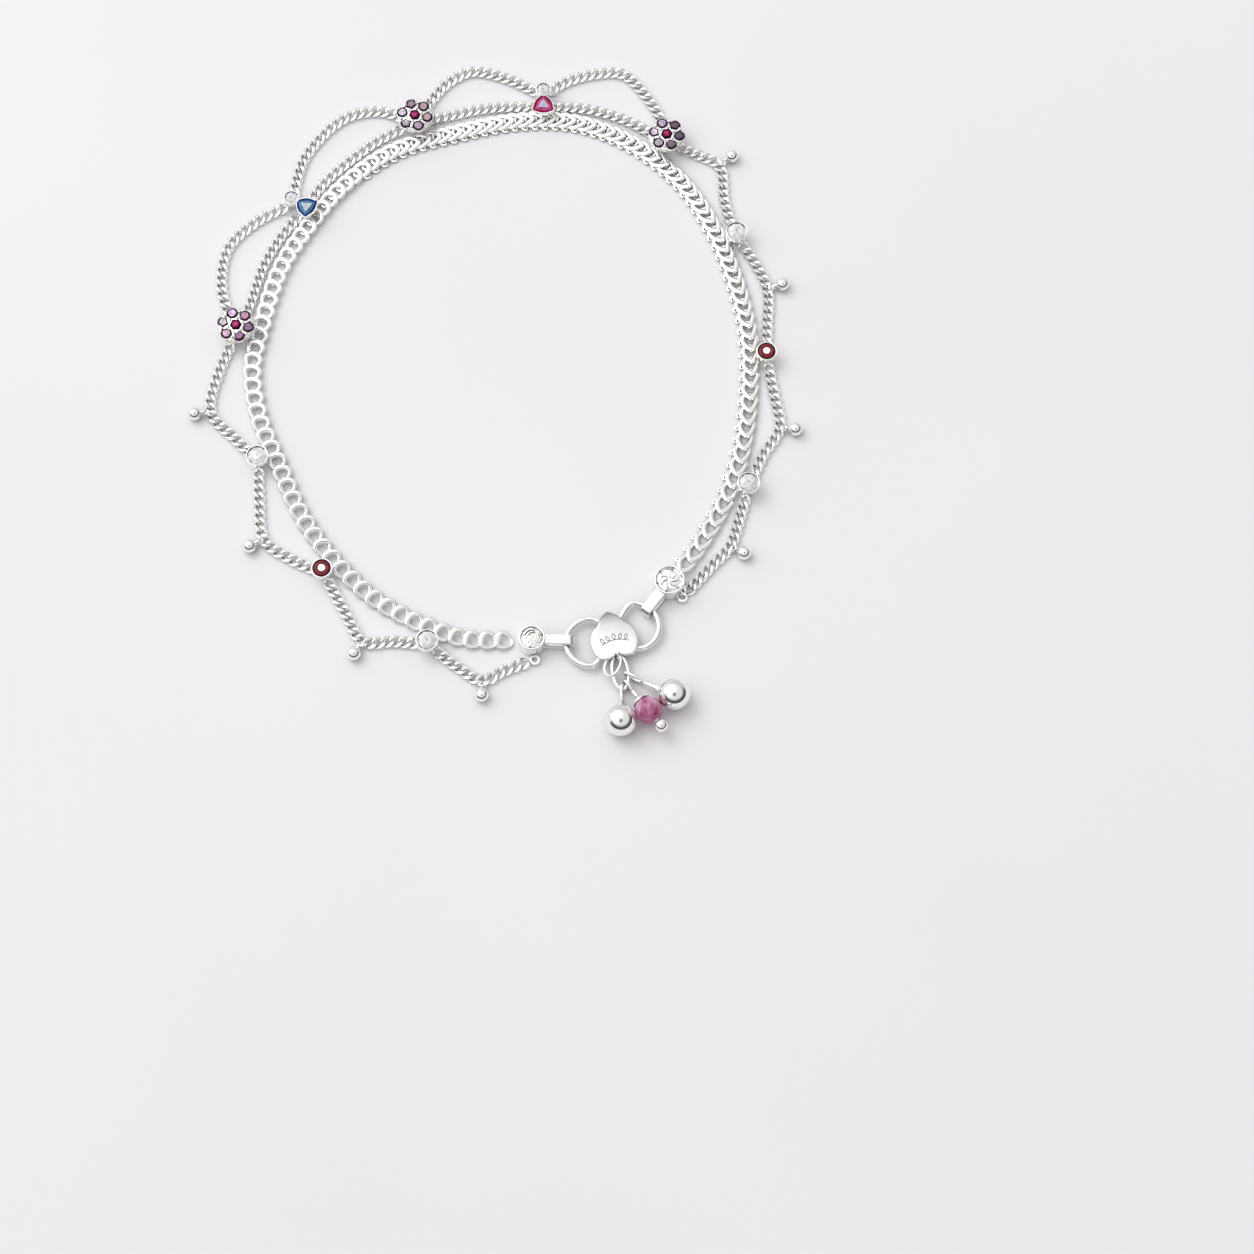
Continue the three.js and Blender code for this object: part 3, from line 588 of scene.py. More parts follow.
silver = silver_material("silver", (0.12, 0.24))
# Its painted shade reaches far, darkening the sides of wires and balls near the floor and other parts
bright_silver = silver_material("bright_silver", (0.07, 0.12), grain=0.0, reach=2.0, open_from=0.62)
# The heart plate's silver is painted greyer than the other silver, as shade
plate_silver = silver_material("plate_silver", (0.16, 0.3), (0.81, 0.805, 0.81), grain=0.14,
                               reach=1.2, open_from=0.6, stretch=(1, 0.05, 1))
# Dark silver for the pits and the engraving, and for a line of painted shade on the heart's tip
oxide_and_shade = silver_material("oxidised_silver_and_shade", (0.3, 0.45), (0.17, 0.15, 0.14))
clear = gem_material("clear_stone", (0.62, 0.63, 0.66), (1, 1, 1), 0.03, 0.2, 0.8, 1500)
# A small dark disc on a clear stone's table: painted reflection
culet_reflection = gem_material("clear_stone_culet", (0.12, 0.11, 0.12), (0.2, 0.19, 0.2))
# Painted shade: the petal stones' facets round their tables
lilac_edge_shade = gem_material("lilac_edge", (0.012, 0.003, 0.012), (0.045, 0.012, 0.045), 0.35, gloss=0.06)
# The magenta centre stone: its colour, its edges painted dark as shade, and a paler table as painted
# highlight
magenta = gem_material("magenta_stone", (0.16, 0.001, 0.045), (0.42, 0.01, 0.14), gloss=0.2)
magenta_edge_shade = gem_material("magenta_edge", (0.004, 0.0, 0.002), (0.02, 0.0, 0.01), 0.3, gloss=0.06)
magenta_table_highlight = gem_material("magenta_table", (0.36, 0.01, 0.13), (0.62, 0.07, 0.3), gloss=0.3)
# Blue and ruby stones: their colours, darker copies painted on their lower facets as shade, and pale tables
# painted as reflection
blue = gem_material("blue_stone", (0.003, 0.09, 0.3), (0.02, 0.2, 0.44), gloss=0.12)
blue_edge_shade = gem_material("blue_edge", (0.001, 0.03, 0.13), (0.004, 0.08, 0.26), gloss=0.1)
blue_table_reflection = gem_material("blue_table_reflection", (0.4, 0.46, 0.47), (0.54, 0.58, 0.55), 0.2)
ruby = gem_material("ruby_stone", (0.3, 0.003, 0.08), (0.6, 0.015, 0.22), gloss=0.12)
ruby_edge_shade = gem_material("ruby_edge", (0.13, 0.0, 0.02), (0.36, 0.004, 0.08), gloss=0.1)
ruby_table_reflection = gem_material("ruby_table_reflection", (0.4, 0.32, 0.46), (0.56, 0.48, 0.66), 0.2)
# Red glass, and a darker copy painted on its edges as shade
red_glass = gem_material("red_glass", (0.1, 0.002, 0.006), (0.24, 0.006, 0.02), 0.2, gloss=0.3)
red_edge_shade = gem_material("red_glass_edge", (0.008, 0.0, 0.002), (0.03, 0.001, 0.003), 0.2, gloss=0.2)
pink_glass = pink_glass_material()

# The petal stones' middle tones, anticlockwise from the one that points away from the chain
LILACS = {
    "flower_left": [(0.58, 0.5, 0.6), (0.6, 0.4, 0.52), (0.3, 0.14, 0.26), (0.22, 0.13, 0.22),
                    (0.52, 0.27, 0.42), (0.72, 0.53, 0.74)],
    "flower_top": [(0.28, 0.22, 0.28), (0.58, 0.52, 0.62), (0.48, 0.43, 0.48), (0.42, 0.3, 0.43),
                   (0.5, 0.36, 0.4), (0.4, 0.27, 0.32)],
    "flower_right": [(0.13, 0.08, 0.11), (0.5, 0.42, 0.56), (0.66, 0.55, 0.68), (0.4, 0.37, 0.42),
                     (0.2, 0.14, 0.2), (0.11, 0.07, 0.12)],
}


def twisted_link(size, steps, sides):
    """A lying link whose two ends are twisted opposite ways, with flattened top and underside."""
    angles = np.arange(steps) * 2 * math.pi / steps
    half_length = (size["length"] - size["wire"]) / 2
    half_width = (size["width"] - size["wire"]) / 2
    twist = math.radians(size["twist"]) * np.cos(angles)
    x = half_length * np.cos(angles)
    y = half_width * np.sin(angles) * np.cos(twist)
    z = half_width * np.sin(angles) * np.sin(twist)
    points, faces = sweep(np.stack([x, y, z], axis=1), size["wire"], size["wire"], sides, closed=True)
    points[:, 2] = np.clip(points[:, 2], -size["cut"], size["cut"])
    return points, faces


def main_link(pointed):
    """A lying link: a horseshoe at 0, and a chevron at 1."""
    length = LINK_LENGTH + CHEVRON_LONGER * pointed
    path = loop_path(length, LINK_WIDTH, LINK_BAND, LINK_STEPS, LINK_TAPER, pointed)
    thinning = LINK_THINNING * (1 - np.cos(np.arange(LINK_STEPS) * 2 * math.pi / LINK_STEPS))
    sizes = 1 - thinning * (1 - pointed) - CHEVRON_THINNER * pointed
    return sweep(path, LINK_BAND, LINK_HEIGHT, LINK_SIDES, closed=True, square=0.75, sizes=sizes)


def main_chain():
    """Each link's leading end lies on the rear end of the link ahead of it."""
    level = ((LINK_LENGTH - LINK_BAND) * math.sin(LINK_TILT) + LINK_HEIGHT) / 2 + LINK_LIFT
    under = wire_loop(UNDER_LINK["length"], UNDER_LINK["width"], UNDER_LINK["wire"],
                      UNDER_STEPS, UNDER_SIDES)
    span = main_route.length - LINK_LENGTH
    gaps = round(span / LINK_PITCH)
    left, right = Shape(), Shape()
    for i in range(gaps + 1):
        wave = math.sin(2 * math.pi * (i / gaps - CROWDED_AT)) + math.sin(2 * math.pi * CROWDED_AT)
        crowding = -LINK_CROWDING * wave / (2 * math.pi)
        along = (LINK_LENGTH / 2 + span * (i / gaps + crowding)) / main_route.length
        point, heading = place(along)
        half = left if along <= STATIONS["flower_top"][1] else right
        pointed = np.interp(along, CHEVRON_ALONG, (0, CHEVRON_MOST))
        lean = math.radians(np.interp(along, LEAN_ALONG, LINK_LEANS))
        spin = about_z(heading - lean) @ about_y(-LINK_TILT * (1 - CHEVRON_FLATTER * pointed))
        half.add(main_link(pointed), (*point, level), spin)
        if along > UNDER_FROM:
            point, heading = place(along, UNDER_LINK["out"])
            spin = about_z(heading - math.radians(UNDER_LINK["lean"]))
            half.add(under, (*point, UNDER_LINK["lift"]), spin)
    make_piece("main_links_left", left, [silver], ["main_chain_left"])
    make_piece("main_links_right", right, [silver], ["main_chain_right"])


def anchor(name):
    """Where a fine chain ends: the foot's middle and its radius."""
    if name in END_FORMS:
        point, direction = end_frame(name)
        turn = direction + math.radians(END_FORMS[name]["lug_turn"])
        return point + polar(LUG_OUT, turn), LUG_RADIUS
    base = name.replace("_round", "")
    kind, along = STATIONS[base]
    out = STATION_OUT[kind]
    if kind == "triangle":
        out = TRIANGLE_FOOT_OUT if name == base else TRIANGLE_ROUND_OUT
    return place(along, out)[0], FOOT_RADIUS[kind]


def curb_chains():
    link = twisted_link(CURB_LINK, CURB_STEPS, CURB_SIDES)
    half_link = CURB_LINK["length"] / 2
    for node, (first, last, points) in CURB_ROUTES.items():
        start, start_foot = anchor(first)
        stop, stop_foot = anchor(last)
        route = Route([start, *(place(along, out)[0] for along, out in points), stop])
        begin = start_foot + half_link
        span = route.length - begin - stop_foot - half_link
        gaps = round(span / CURB_LINK["pitch"])
        shape = Shape()
        for i in range(gaps + 1):
            distance = begin + span * i / gaps
            at = (*route.at(distance), CURB_LINK["cut"])
            shape.add(link, at, about_z(route.heading(distance)))
        make_piece(f"{node}_links", shape, [silver], [node])


def stations_of(kind):
    """The name and frame of a kind's stations; the frame's +X points away from the chain."""
    for name, (its_kind, along) in STATIONS.items():
        if its_kind == kind:
            point, heading = place(along, STATION_OUT[kind])
            yield name, (np.array([*point, 0]), about_z(heading + math.pi / 2))


def ring_of_beads(shape, radius, height, bead, count, first=0):
    """Small balls in a ring, the first of them at the given angle in degrees."""
    grain = ball(bead, 8, 5)
    for i in range(count):
        shape.add(grain, around(radius, first + 360 * i / count, height), shape.spin.T)


def bezel(foot, rim, seat, top, sides=48):
    """A cup on a foot: it flares above the chains, and its lip is rounded over the stone."""
    wall = (rim - seat) / 2
    lip = arc((seat + wall, top - wall), wall, 0, 180, 7)
    floor_level = top - SEAT_DEPTH
    return turned([(0, 0.02), (foot * 0.95, 0.02), (foot, 0.12), (foot, DECK - 0.1), (foot + 0.15, DECK),
                   (rim - 0.25, DECK + 0.12), (rim, DECK + 0.4), *lip, (seat, floor_level),
                   (0, floor_level)], sides)


def clear_gem(radius, top, frame):
    """A clear round brilliant with a small dark disc on its table, a painted reflection in the stone's
    middle.
    """
    gem = Shape(*frame)
    gem.add(stepped_stone([(radius * 0.52, top, False), (radius * 0.78, top - 0.14, True),
                           (radius, top - 0.32, False), (radius, top - 0.38, False),
                           (radius * 0.55, top - 0.62, True), (radius * 0.06, top - 0.7, False)], 8))
    # Painted reflection: a small dark disc on the table
    gem.add(disc(0.12, top - 0.02, top + 0.004, 6), (0.03, 0.08, 0), look=1)
    return gem


def clear_collets():
    for name, frame in stations_of("clear"):
        cup = Shape(*frame)
        cup.add(bezel(FOOT_RADIUS["clear"], 1.9, 1.68, CLEAR_TOP))
        make_piece(f"bezel_{name}", cup, [silver], [f"collet_{name}"])
        gem = clear_gem(1.62, CLEAR_TOP + 0.06, frame)
        make_piece(f"gem_{name}", gem, [clear, culet_reflection], [f"stone_{name}"], flat=True)


def red_collets():
    """Cups with a ring of red glass round a rivet, the glass painted darker at its edges as shade."""
    rivet = turned([(0, RED_TOP - 0.7), (0.4, RED_TOP - 0.7), (0.4, RED_TOP - 0.1), (0.6, RED_TOP - 0.05),
                    (0.66, RED_TOP + 0.05), (0.6, RED_TOP + 0.14), (0.38, RED_TOP + 0.18),
                    (0.22, RED_TOP + 0.12), (0, RED_TOP + 0.1)], 24)
    crown = [(x, RED_TOP - 0.16 + z * 0.62) for x, z in arc((0.98, 0), 0.36, 160, 20, 8)]
    ring = closed_profile([(0.42, RED_TOP - 0.5), (0.46, RED_TOP - 0.2), *crown,
                           (1.46, RED_TOP - 0.14), (1.5, RED_TOP - 0.5)])
    radii = np.linalg.norm(ring[0][:, :2], axis=1)
    looks = [0 if 0.68 <= radii[list(face)].mean() <= 1.31 else 1 for face in ring[1]]
    for name, frame in stations_of("red"):
        cup = Shape(*frame)
        cup.add(bezel(FOOT_RADIUS["red"], 1.8, 1.52, RED_TOP))
        cup.add(rivet)
        make_piece(f"bezel_{name}", cup, [silver], [f"collet_{name}"])
        glass = Shape(*frame)
        glass.add(ring, look=looks)
        make_piece(f"glass_{name}", glass, [red_glass, red_edge_shade], [f"stone_{name}"])


def triangle_head(frame):
    """The three-cornered wall with two claws at each corner, and the round cup beside it."""
    head = Shape(*frame)
    middle = STATION_OUT["triangle"]
    foot = FOOT_RADIUS["triangle"]
    wall = [(0, DECK + 0.03), (1.8, DECK + 0.03), (2.18, DECK + 0.25), (2.26, DECK + 0.45),
            (2.28, CLEAR_TOP - 0.12), (2.24, CLEAR_TOP), (2.14, CLEAR_TOP), (2.08, CLEAR_TOP - 0.1),
            (2.08, CLEAR_TOP - SEAT_DEPTH), (0, CLEAR_TOP - SEAT_DEPTH)]
    head.add(turned(wall, 48, lambda angles: triangle_form(angles, 0.5)))
    head.add(disc(foot, 0.02, DECK + 0.2, 24), (TRIANGLE_FOOT_OUT - middle, 0, 0))
    head.add(bezel(foot, 1.42, 1.2, CLEAR_TOP, sides=36), (TRIANGLE_ROUND_OUT - middle, 0, 0))
    for corner in (0, 120, 240):
        for side in (-CLAW_SIDE, CLAW_SIDE):
            head.add(ball(0.2, 10, 6), around(2.12, corner + side, CLEAR_TOP - 0.05))
    return head


def triangle_gem():
    """A step-cut stone and the looks of its faces: 0, a pale painted reflection, on the table and at sharp
    edges, and 2, darkest painted shade, below.
    """
    top = CLEAR_TOP + 0.14
    steps = [(1.12, 0, 0.95), (1.2, 0.03, 0.93), (1.54, 0.13, 0.75), (1.6, 0.15, 0.72),
             (2.1, 0.36, 0.52), (2.1, 0.42, 0.52), (1.1, 0.72, 0.52), (0.1, 0.8, 0.52)]
    rings = [(radius, top - drop, False) for radius, drop, _ in steps]
    stone = stepped_stone(rings, 24, lambda angle, row: triangle_form(angle, steps[row][2]))
    looks = [0]
    for look in (0, 1, 0, 2, 2, 2, 2):
        looks += [look] * 24
    return stone, [*looks, 2]


def triangle_settings():
    tones = {"blue": [blue_table_reflection, blue, blue_edge_shade], "ruby": [ruby_table_reflection, ruby, ruby_edge_shade]}
    stone, looks = triangle_gem()
    for name, frame in stations_of("triangle"):
        make_piece(f"head_{name}", triangle_head(frame), [silver], [f"setting_{name}"])
        gem = Shape(*frame)
        gem.add(stone, look=looks)
        make_piece(f"gem_{name}", gem, tones[name], [f"stone_{name}"], flat=True)
        round_at = local(*frame, TRIANGLE_ROUND_OUT - STATION_OUT["triangle"])
        small = clear_gem(1.16, CLEAR_TOP + 0.05, (round_at, frame[1]))
        node = f"stone_{name}_round"
        make_piece(f"gem_{name}_round", small, [clear, culet_reflection], [node], flat=True)


def flower_base(name, frame):
    """The beaded gallery, the scalloped deck between the stones and the claws."""
    base = Shape(*frame)
    foot = FOOT_RADIUS["flower"]
    base.add(turned([(0, 0.02), (foot, 0.02), (foot, DECK), (2.7, DECK + 0.1), (2.95, DECK + 0.35),
                     (3.0, GALLERY_TOP - 0.1), (2.8, GALLERY_TOP + 0.1), (2.3, GALLERY_TOP + 0.3),
                     (0, GALLERY_TOP + 0.3)], 60))
    ring_of_beads(base, 3.0, GALLERY_TOP - 0.25, 0.17, 40)
    ring_of_beads(base, 2.92, DECK + 0.35, 0.13, 40)
    deck = PETAL_TOP - 0.2
    base.add(turned([(0, deck - 0.4), (2.6, deck - 0.4), (2.9, deck - 0.25), (2.86, deck - 0.08),
                     (2.6, deck), (0, deck + 0.04)], 60))
    cup = closed_profile([(1.0, GALLERY_TOP), (1.1, deck - 0.25), (1.08, deck), (1.0, deck + 0.06),
                          (0.93, deck), (0.93, GALLERY_TOP)], 28)
    for i in range(6):
        base.add(cup, around(PETAL_OUT, 60 * i))
    ring_of_beads(base, 1.34, PETAL_TOP - 0.04, 0.2, 6, 30)
    ring_of_beads(base, 2.5, PETAL_TOP - 0.12, 0.34, 6, 30)
    for side in (-24, 5, 26):
        ring_of_beads(base, 3.26, PETAL_TOP - 0.22, 0.15, 6, side)
    make_piece(f"cluster_{name}", base, [silver], [name])


def flower_petals(name, frame):
    """Six cut stones whose facets round the table are painted dark as shade, each with a tone of its own on
    its table.
    """
    petals, materials = Shape(*frame), [lilac_edge_shade]
    top = PETAL_TOP + 0.02
    rings = [(0.7, top, False), (0.97, top - 0.1, False), (1.03, top - 0.26, False),
             (0.7, GALLERY_TOP + 0.1, True)]
    for i, (tone, sides) in enumerate(zip(LILACS[name], PETAL_SIDES)):
        stone = stepped_stone(rings, sides,
                              lambda angle, row: 1 + PETAL_WOBBLE * math.sin(3.1 * angle + sides))
        looks = [len(materials)] + [0] * (len(stone[1]) - 1)
        petals.add(stone, around(PETAL_OUT, 60 * i), about_z(i * 0.9 + 0.5), looks)
        materials.append(gem_material(f"lilac_{name}_{i}", [c * 0.6 for c in tone],
                                      [min(c * 1.3, 1) for c in tone], 0.25, gloss=0.3, scale=2600))
    make_piece(f"petals_{name}", petals, materials, [name], flat=True)


def flowers():
    """Six petal stones round a deep magenta one."""
    top = FLOWER_TOP
    stone = stepped_stone([(0.22, top, False), (0.64, top - 0.05, False), (1.04, top - 0.16, False),
                           (1.08, top - 0.34, False), (0.7, GALLERY_TOP + 0.1, True)], 6)
    # The table gets a painted highlight and the outer facets painted shade
    looks = [0] + [2] * 6 + [1] * (len(stone[1]) - 7)
    materials = [magenta_table_highlight, magenta_edge_shade, magenta]
    for name, frame in stations_of("flower"):
        flower_base(name, frame)
        flower_petals(name, frame)
        centre = Shape(*frame)
        centre.add(stone, spin=about_z(0.3), look=looks)
        make_piece(f"centre_{name}", centre, materials, [name], flat=True)


# End pieces: how far beyond the chain they stand, their caps, and their small rings for the fine
# chains, which stand at an angle in degrees from the direction to the clasp
END_OUTSIDE = 2.8
END_TOP = 3.2
END_FORMS = {"end_left": {"radius": 2.28, "pits": 3, "lug_turn": -80},
             "end_right": {"radius": 2.65, "pits": 6, "lug_turn": 80}}
LUG_OUT = 3.15
LUG_RADIUS = 0.72
PIT_FIRST = math.degrees(0.4)

# Their straps, which fold round the hook's wire
STRAP_TOP = 2.51
STRAP_THICKNESS = 0.4
STRAP_WIDTH = 1.85
STRAP_FOLD = 6.05
FOLD_DEPTH = 0.78

# S hook: where its loops stand from the end pieces, and their arcs in degrees
STRAP_REACH = 5.6
HOOK_LOOP = 4.05
HOOK_WIRE = 1.02
HOOK_LEVEL = 1.255
LEFT_ARC = (-122, 100)
RIGHT_ARC = (47, -148)

# Heart plate, whose tip bends down from BEND_FROM on, and the bail under its notch
HEART_WIDTH = 7.9
HEART_HEIGHT = 8.6
HEART_BOTTOM = 1.61
HEART_TOP = 2.21
HEART_TURN = 13
HEART_DROP = 0.2
HEART_DOME = 0.1
HEART_BEND = 0.052
BEND_FROM = 0.6
NOTCH = -0.74
BAIL_REACH = 3.645
DARK_LINE_HEIGHT = 0.04


def end_frame(name):
    """The middle of an end piece and its direction towards the clasp."""
    beyond = END_OUTSIDE / main_route.length
    if name == "end_right":
        return place(1 + beyond)
    point, heading = place(-beyond)
    return point, heading + math.pi


def hook_loop(name):
    """The middle of one of the S hook's loops, and the direction back to its end piece."""
    point, direction = end_frame(name)
    return point + polar(STRAP_REACH + HOOK_LOOP, direction), direction + math.pi


def heart_frame():
    """The point midway between the S hook's loops, and the heart's turn."""
    middle = (hook_loop("end_left")[0] + hook_loop("end_right")[0]) / 2
    return np.array([*middle, 0]), about_z(math.radians(HEART_TURN))


def bail_point():
    return local(*heart_frame(), 0, -BAIL_REACH, RING_LEVEL)


def embossing(name):
    """Curved strokes that stand up from an end piece's top: slanting ones, or petals round a middle."""
    if name == "end_right":
        strokes = []
        for i in range(7):
            turns = np.array([0, 0.12, 0.32, 0.6]) + i * 2 * math.pi / 7
            reaches = np.array([0.3, 0.8, 1.3, 1.72])
            strokes.append((reaches * [np.cos(turns), np.sin(turns)]).T)
    else:
        strokes = [
            [(-1.5, 0.1), (-1.1, 0.95), (-0.35, 1.45), (0.5, 1.35)],
            [(-1.05, -0.35), (-0.75, 0.45), (-0.15, 0.95), (0.6, 0.9)],
            [(-0.75, -1.1), (-0.35, -0.2), (-0.2, 0.5)],
            [(-0.1, -1.4), (0.2, -0.5), (0.3, 0.45)],
            [(0.5, -1.3), (0.85, -0.5), (0.95, 0.3), (1.25, 0.75)],
            [(1.1, -0.95), (1.4, -0.2), (1.45, 0.3)],
        ]
    for stroke in strokes:
        path = catmull_rom(stroke, 6)
        heights = END_TOP - 0.2 - 0.06 * np.linalg.norm(path, axis=1) ** 2 / 2.5
        yield np.column_stack([path, heights])


def end_cap(name, cap, radius, pits):
    """A round cap with a rolled rim, embossed strokes, a row of beads and a few dark pits."""
    rim = arc((radius - 0.24, END_TOP - 0.42), 0.24, -20, 200, 8)
    cap.add(turned([(0, 0.02), (radius - 0.26, 0.02), (radius - 0.02, 0.25), (radius, 1.0),
                    (radius - 0.06, END_TOP - 0.8), *rim, (1.9, END_TOP - 0.62), (1.5, END_TOP - 0.5),
                    (0.9, END_TOP - 0.4), (0, END_TOP - 0.36)], 56))
    cap.add(torus(radius - 0.14, 0.2, 56), UP * (END_TOP - 0.95))
    for path in embossing(name):
        sizes = np.interp(np.linspace(0, 1, len(path)), [0, 0.2, 0.8, 1], [0.35, 1, 1, 0.35])
        cap.add(sweep(path, 0.36, 0.42, 8, sizes=sizes))
    ring_of_beads(cap, radius - 0.62, END_TOP - 0.46, 0.1, 26)
    pit = disc(0.17, END_TOP - 0.5, END_TOP - 0.2, 10)
    for i in range(pits):
        cap.add(pit, around(radius - 0.55, PIT_FIRST + i * 360 / pits), look=1)


def strap():
    """A flat band that leaves the cap, folds round the hook's wire and comes back below."""
    low = STRAP_THICKNESS / 2
    high = STRAP_TOP - low
    fold = arc((0, (high + low) / 2), (high - low) / 2, 90, -90, 12)
    run = [(1.6, high + 0.06), (2.3, high + 0.1), (3.2, high + 0.02),
           *[(STRAP_FOLD + FOLD_DEPTH * x, z) for x, z in fold], (3.2, low + 0.05), (1.6, low + 0.05)]
    path = catmull_rom([(x, 0, z) for x, z in run], 5)
    return sweep(path, STRAP_THICKNESS, STRAP_WIDTH, 16, up=(0, 1, 0), square=0.45)


def end_pieces():
    lug = closed_profile([(0.42, 0.12), (0.62, 0.02), (0.85, 0.06), (0.96, 0.25), (0.96, 0.55),
                          (0.82, 0.76), (0.6, 0.78), (0.44, 0.66)], 28)
    for name, form in END_FORMS.items():
        point, direction = end_frame(name)
        shape = Shape((*point, 0), about_z(direction))
        end_cap(name, shape, form["radius"], form["pits"])
        shape.add(strap())
        shape.add(lug, around(LUG_OUT, form["lug_turn"]), about_z(math.radians(form["lug_turn"])))
        make_piece(f"{name}_piece", shape, [silver, oxide_and_shade], [name], edge=32)


def heart_outline():
    """The heart's edge with its tip towards +Y: Bezier arcs of its right half, mirrored."""
    right = [
        ((0, 1), (0.34, 0.82), (0.5, 0.62), (0.6, 0.43)),
        ((0.6, 0.43), (0.9, 0.26), (1, 0.02), (1, -0.26)),
        ((1, -0.26), (1, -0.74), (0.78, -1), (0.5, -1)),
        ((0.5, -1), (0.25, -1), (0.05, -0.9), (0, NOTCH)),
    ]
    t = np.arange(12)[:, None] / 12
    edge = []
    for a, b, c, d in np.array(right):
        edge.append(a * (1 - t)**3 + 3 * b * t * (1 - t)**2 + 3 * c * t**2 * (1 - t) + d * t**3)
    edge = np.vstack(edge)
    outline = np.vstack([edge, [(0, NOTCH)], edge[:0:-1] * (-1, 1)])
    return outline * (HEART_WIDTH / 2, HEART_HEIGHT / 2)


def heart_bend(y):
    return HEART_BEND * np.maximum(y - BEND_FROM, 0) ** 2


def heart_dome(x, y):
    return HEART_DOME * (1 - (x / HEART_WIDTH * 2) ** 2) * (1 - (y / HEART_HEIGHT * 2) ** 2)


def heart_plate():
    """The plate in rings from underside to top, as (share of the outline, share of its height)."""
    outline = heart_outline()
    middle = np.array([0, -0.6])
    layers = [(0, 0), (0.5, 0), (0.93, 0), (0.985, 0.12), (1, 0.3), (1, 0.72), (0.985, 0.9),
              (0.955, 0.98), (0.9, 1), (0.75, 1), (0.6, 1), (0.45, 1), (0.3, 1), (0.15, 1), (0, 1)]
    rings = []
    for share, level in layers:
        ring = middle + (outline - middle) * share if share else middle[None]
        x, y = ring.T
        dome = heart_dome(x, y) * (level > 0.9)
        z = HEART_BOTTOM + (HEART_TOP - HEART_BOTTOM) * level - heart_bend(y) + dome
        rings.append(np.column_stack([ring, z]))
    return skin(rings)


def sprig():
    """A small engraved sprig: a bowed stem with paired leaves and a bud, as fine dark grooves."""
    lines = [[(-2.35, -1.75), (-1.2, -1.35), (0, -1.2), (1.2, -1.35), (2.35, -1.75)]]
    for x, lean in ((-1.7, -1), (-0.75, -1), (0.75, 1), (1.7, 1)):
        root = -1.2 - 0.1 * x * x
        lines.append([(x, root), (x + lean * 0.1, root + 0.6), (x + lean * 0.55, root + 0.95)])
        lines.append([(x, root), (x + lean * 0.5, root + 0.35), (x + lean * 0.55, root + 0.95)])
    lines.append([(0, -1.2), (-0.28, -0.65), (0, -0.1), (0.28, -0.65), (0, -1.2)])
    for line in lines:
        yield catmull_rom(line, 8)


def hook_wire():
    points = []
    for name, arc_ends in (("end_left", LEFT_ARC), ("end_right", RIGHT_ARC)):
        loop, turn = hook_loop(name)
        for angle in np.linspace(*arc_ends, 8):
            points.append((*loop + polar(HOOK_LOOP, turn + math.radians(angle)), HOOK_LEVEL))
    return round_wire(catmull_rom(points, 10), HOOK_WIRE, 20)


def s_hook():
    """The hook's wire with the heart plate on it, the plate's engraving, a dark line of painted shade along
    its bent tip, and the bail.
    """
    shape = Shape()
    shape.add(hook_wire())
    at, spin = heart_frame()
    at = local(at, spin, 0, -HEART_DROP)
    shape.add(heart_plate(), at, spin, 1)
    tip_way = spin @ (0, 1, 0)
    middle = at @ tip_way
    # Painted shade: the plate turns greyer towards its bent-down tip
    shade_along(plate_silver, tip_way, middle - 1.6, middle + 3.8, 0.5)
    for path in sprig():
        level = HEART_TOP + heart_dome(*path.T) - heart_bend(path[:, 1]) + 0.004
        shape.add(sweep(np.column_stack([path, level]), 0.15, DARK_LINE_HEIGHT, 6), at, spin, 2)
    # Painted shade: a dark line just inside the edge of the bent-down tip
    outline = heart_outline()
    tip = np.vstack([outline[-9:], outline[:10]]) * (0.9, 0.93)
    line = np.column_stack([tip, HEART_TOP - heart_bend(tip[:, 1]) + 0.01])
    shape.add(sweep(line, 0.1, DARK_LINE_HEIGHT, 6), at, spin, 2)
    upright = about_z(math.pi / 2) @ about_x(math.pi / 2)
    shape.add(wire_loop(2.2, EYE_HEIGHT, 0.5, 28, 10), bail_point(), spin @ upright)
    materials = [bright_silver, plate_silver, oxide_and_shade]
    make_piece("s_hook_and_heart", shape, materials, ["s_hook"], edge=50)


# The two rings that hang from the bail, the charms on the first; turns are in degrees
RING_LEVEL = 1.205
OVAL_RING = {"length": 6.8, "width": 3.3, "wire": 0.68, "reach": 3.075, "turn": -81, "lift": 0}
SECOND_RING = {"length": 4.6, "width": 2.9, "wire": 0.5, "reach": 2.05, "turn": -112, "lift": 0.42}
RING_SIDE = 1.325

# Charms: angle on the oval ring, direction in degrees, reach to the middle and length of the eye
BALL_CHARMS = {"charm_ball_left": (-12, -91, 5.9, 4.0), "charm_ball_right": (75, -27, 8.4, 4.2)}
CHARM_RADIUS = 2.68
EYE_HEIGHT = 2.41
EYE_WIRE = 0.58
BEAD_SEAT, BEAD_BEARING, BEAD_REACH = 38, -54, 6.0
BEAD_RADIUS = 2.31
BEAD_HOLE = 0.42
PIN_BALL = 1.15
DROP_OUT = 2.7
DROP_LEVEL = 1.2


def on_ring(degrees):
    """Where the oval ring's wire is, by an angle from its far end."""
    spin = about_z(math.radians(OVAL_RING["turn"]))
    reach, seat = OVAL_RING["reach"], math.radians(degrees)
    return local(bail_point(), spin, reach + reach * math.cos(seat), RING_SIDE * math.sin(seat))


def upright_eye(length):
    """A loop of wire that stands upright and reaches along +X."""
    points, faces = wire_loop(length, EYE_HEIGHT, EYE_WIRE, 32, 12)
    return points @ about_x(math.pi / 2).T + ((length - EYE_HEIGHT) / 2, 0, 0), faces


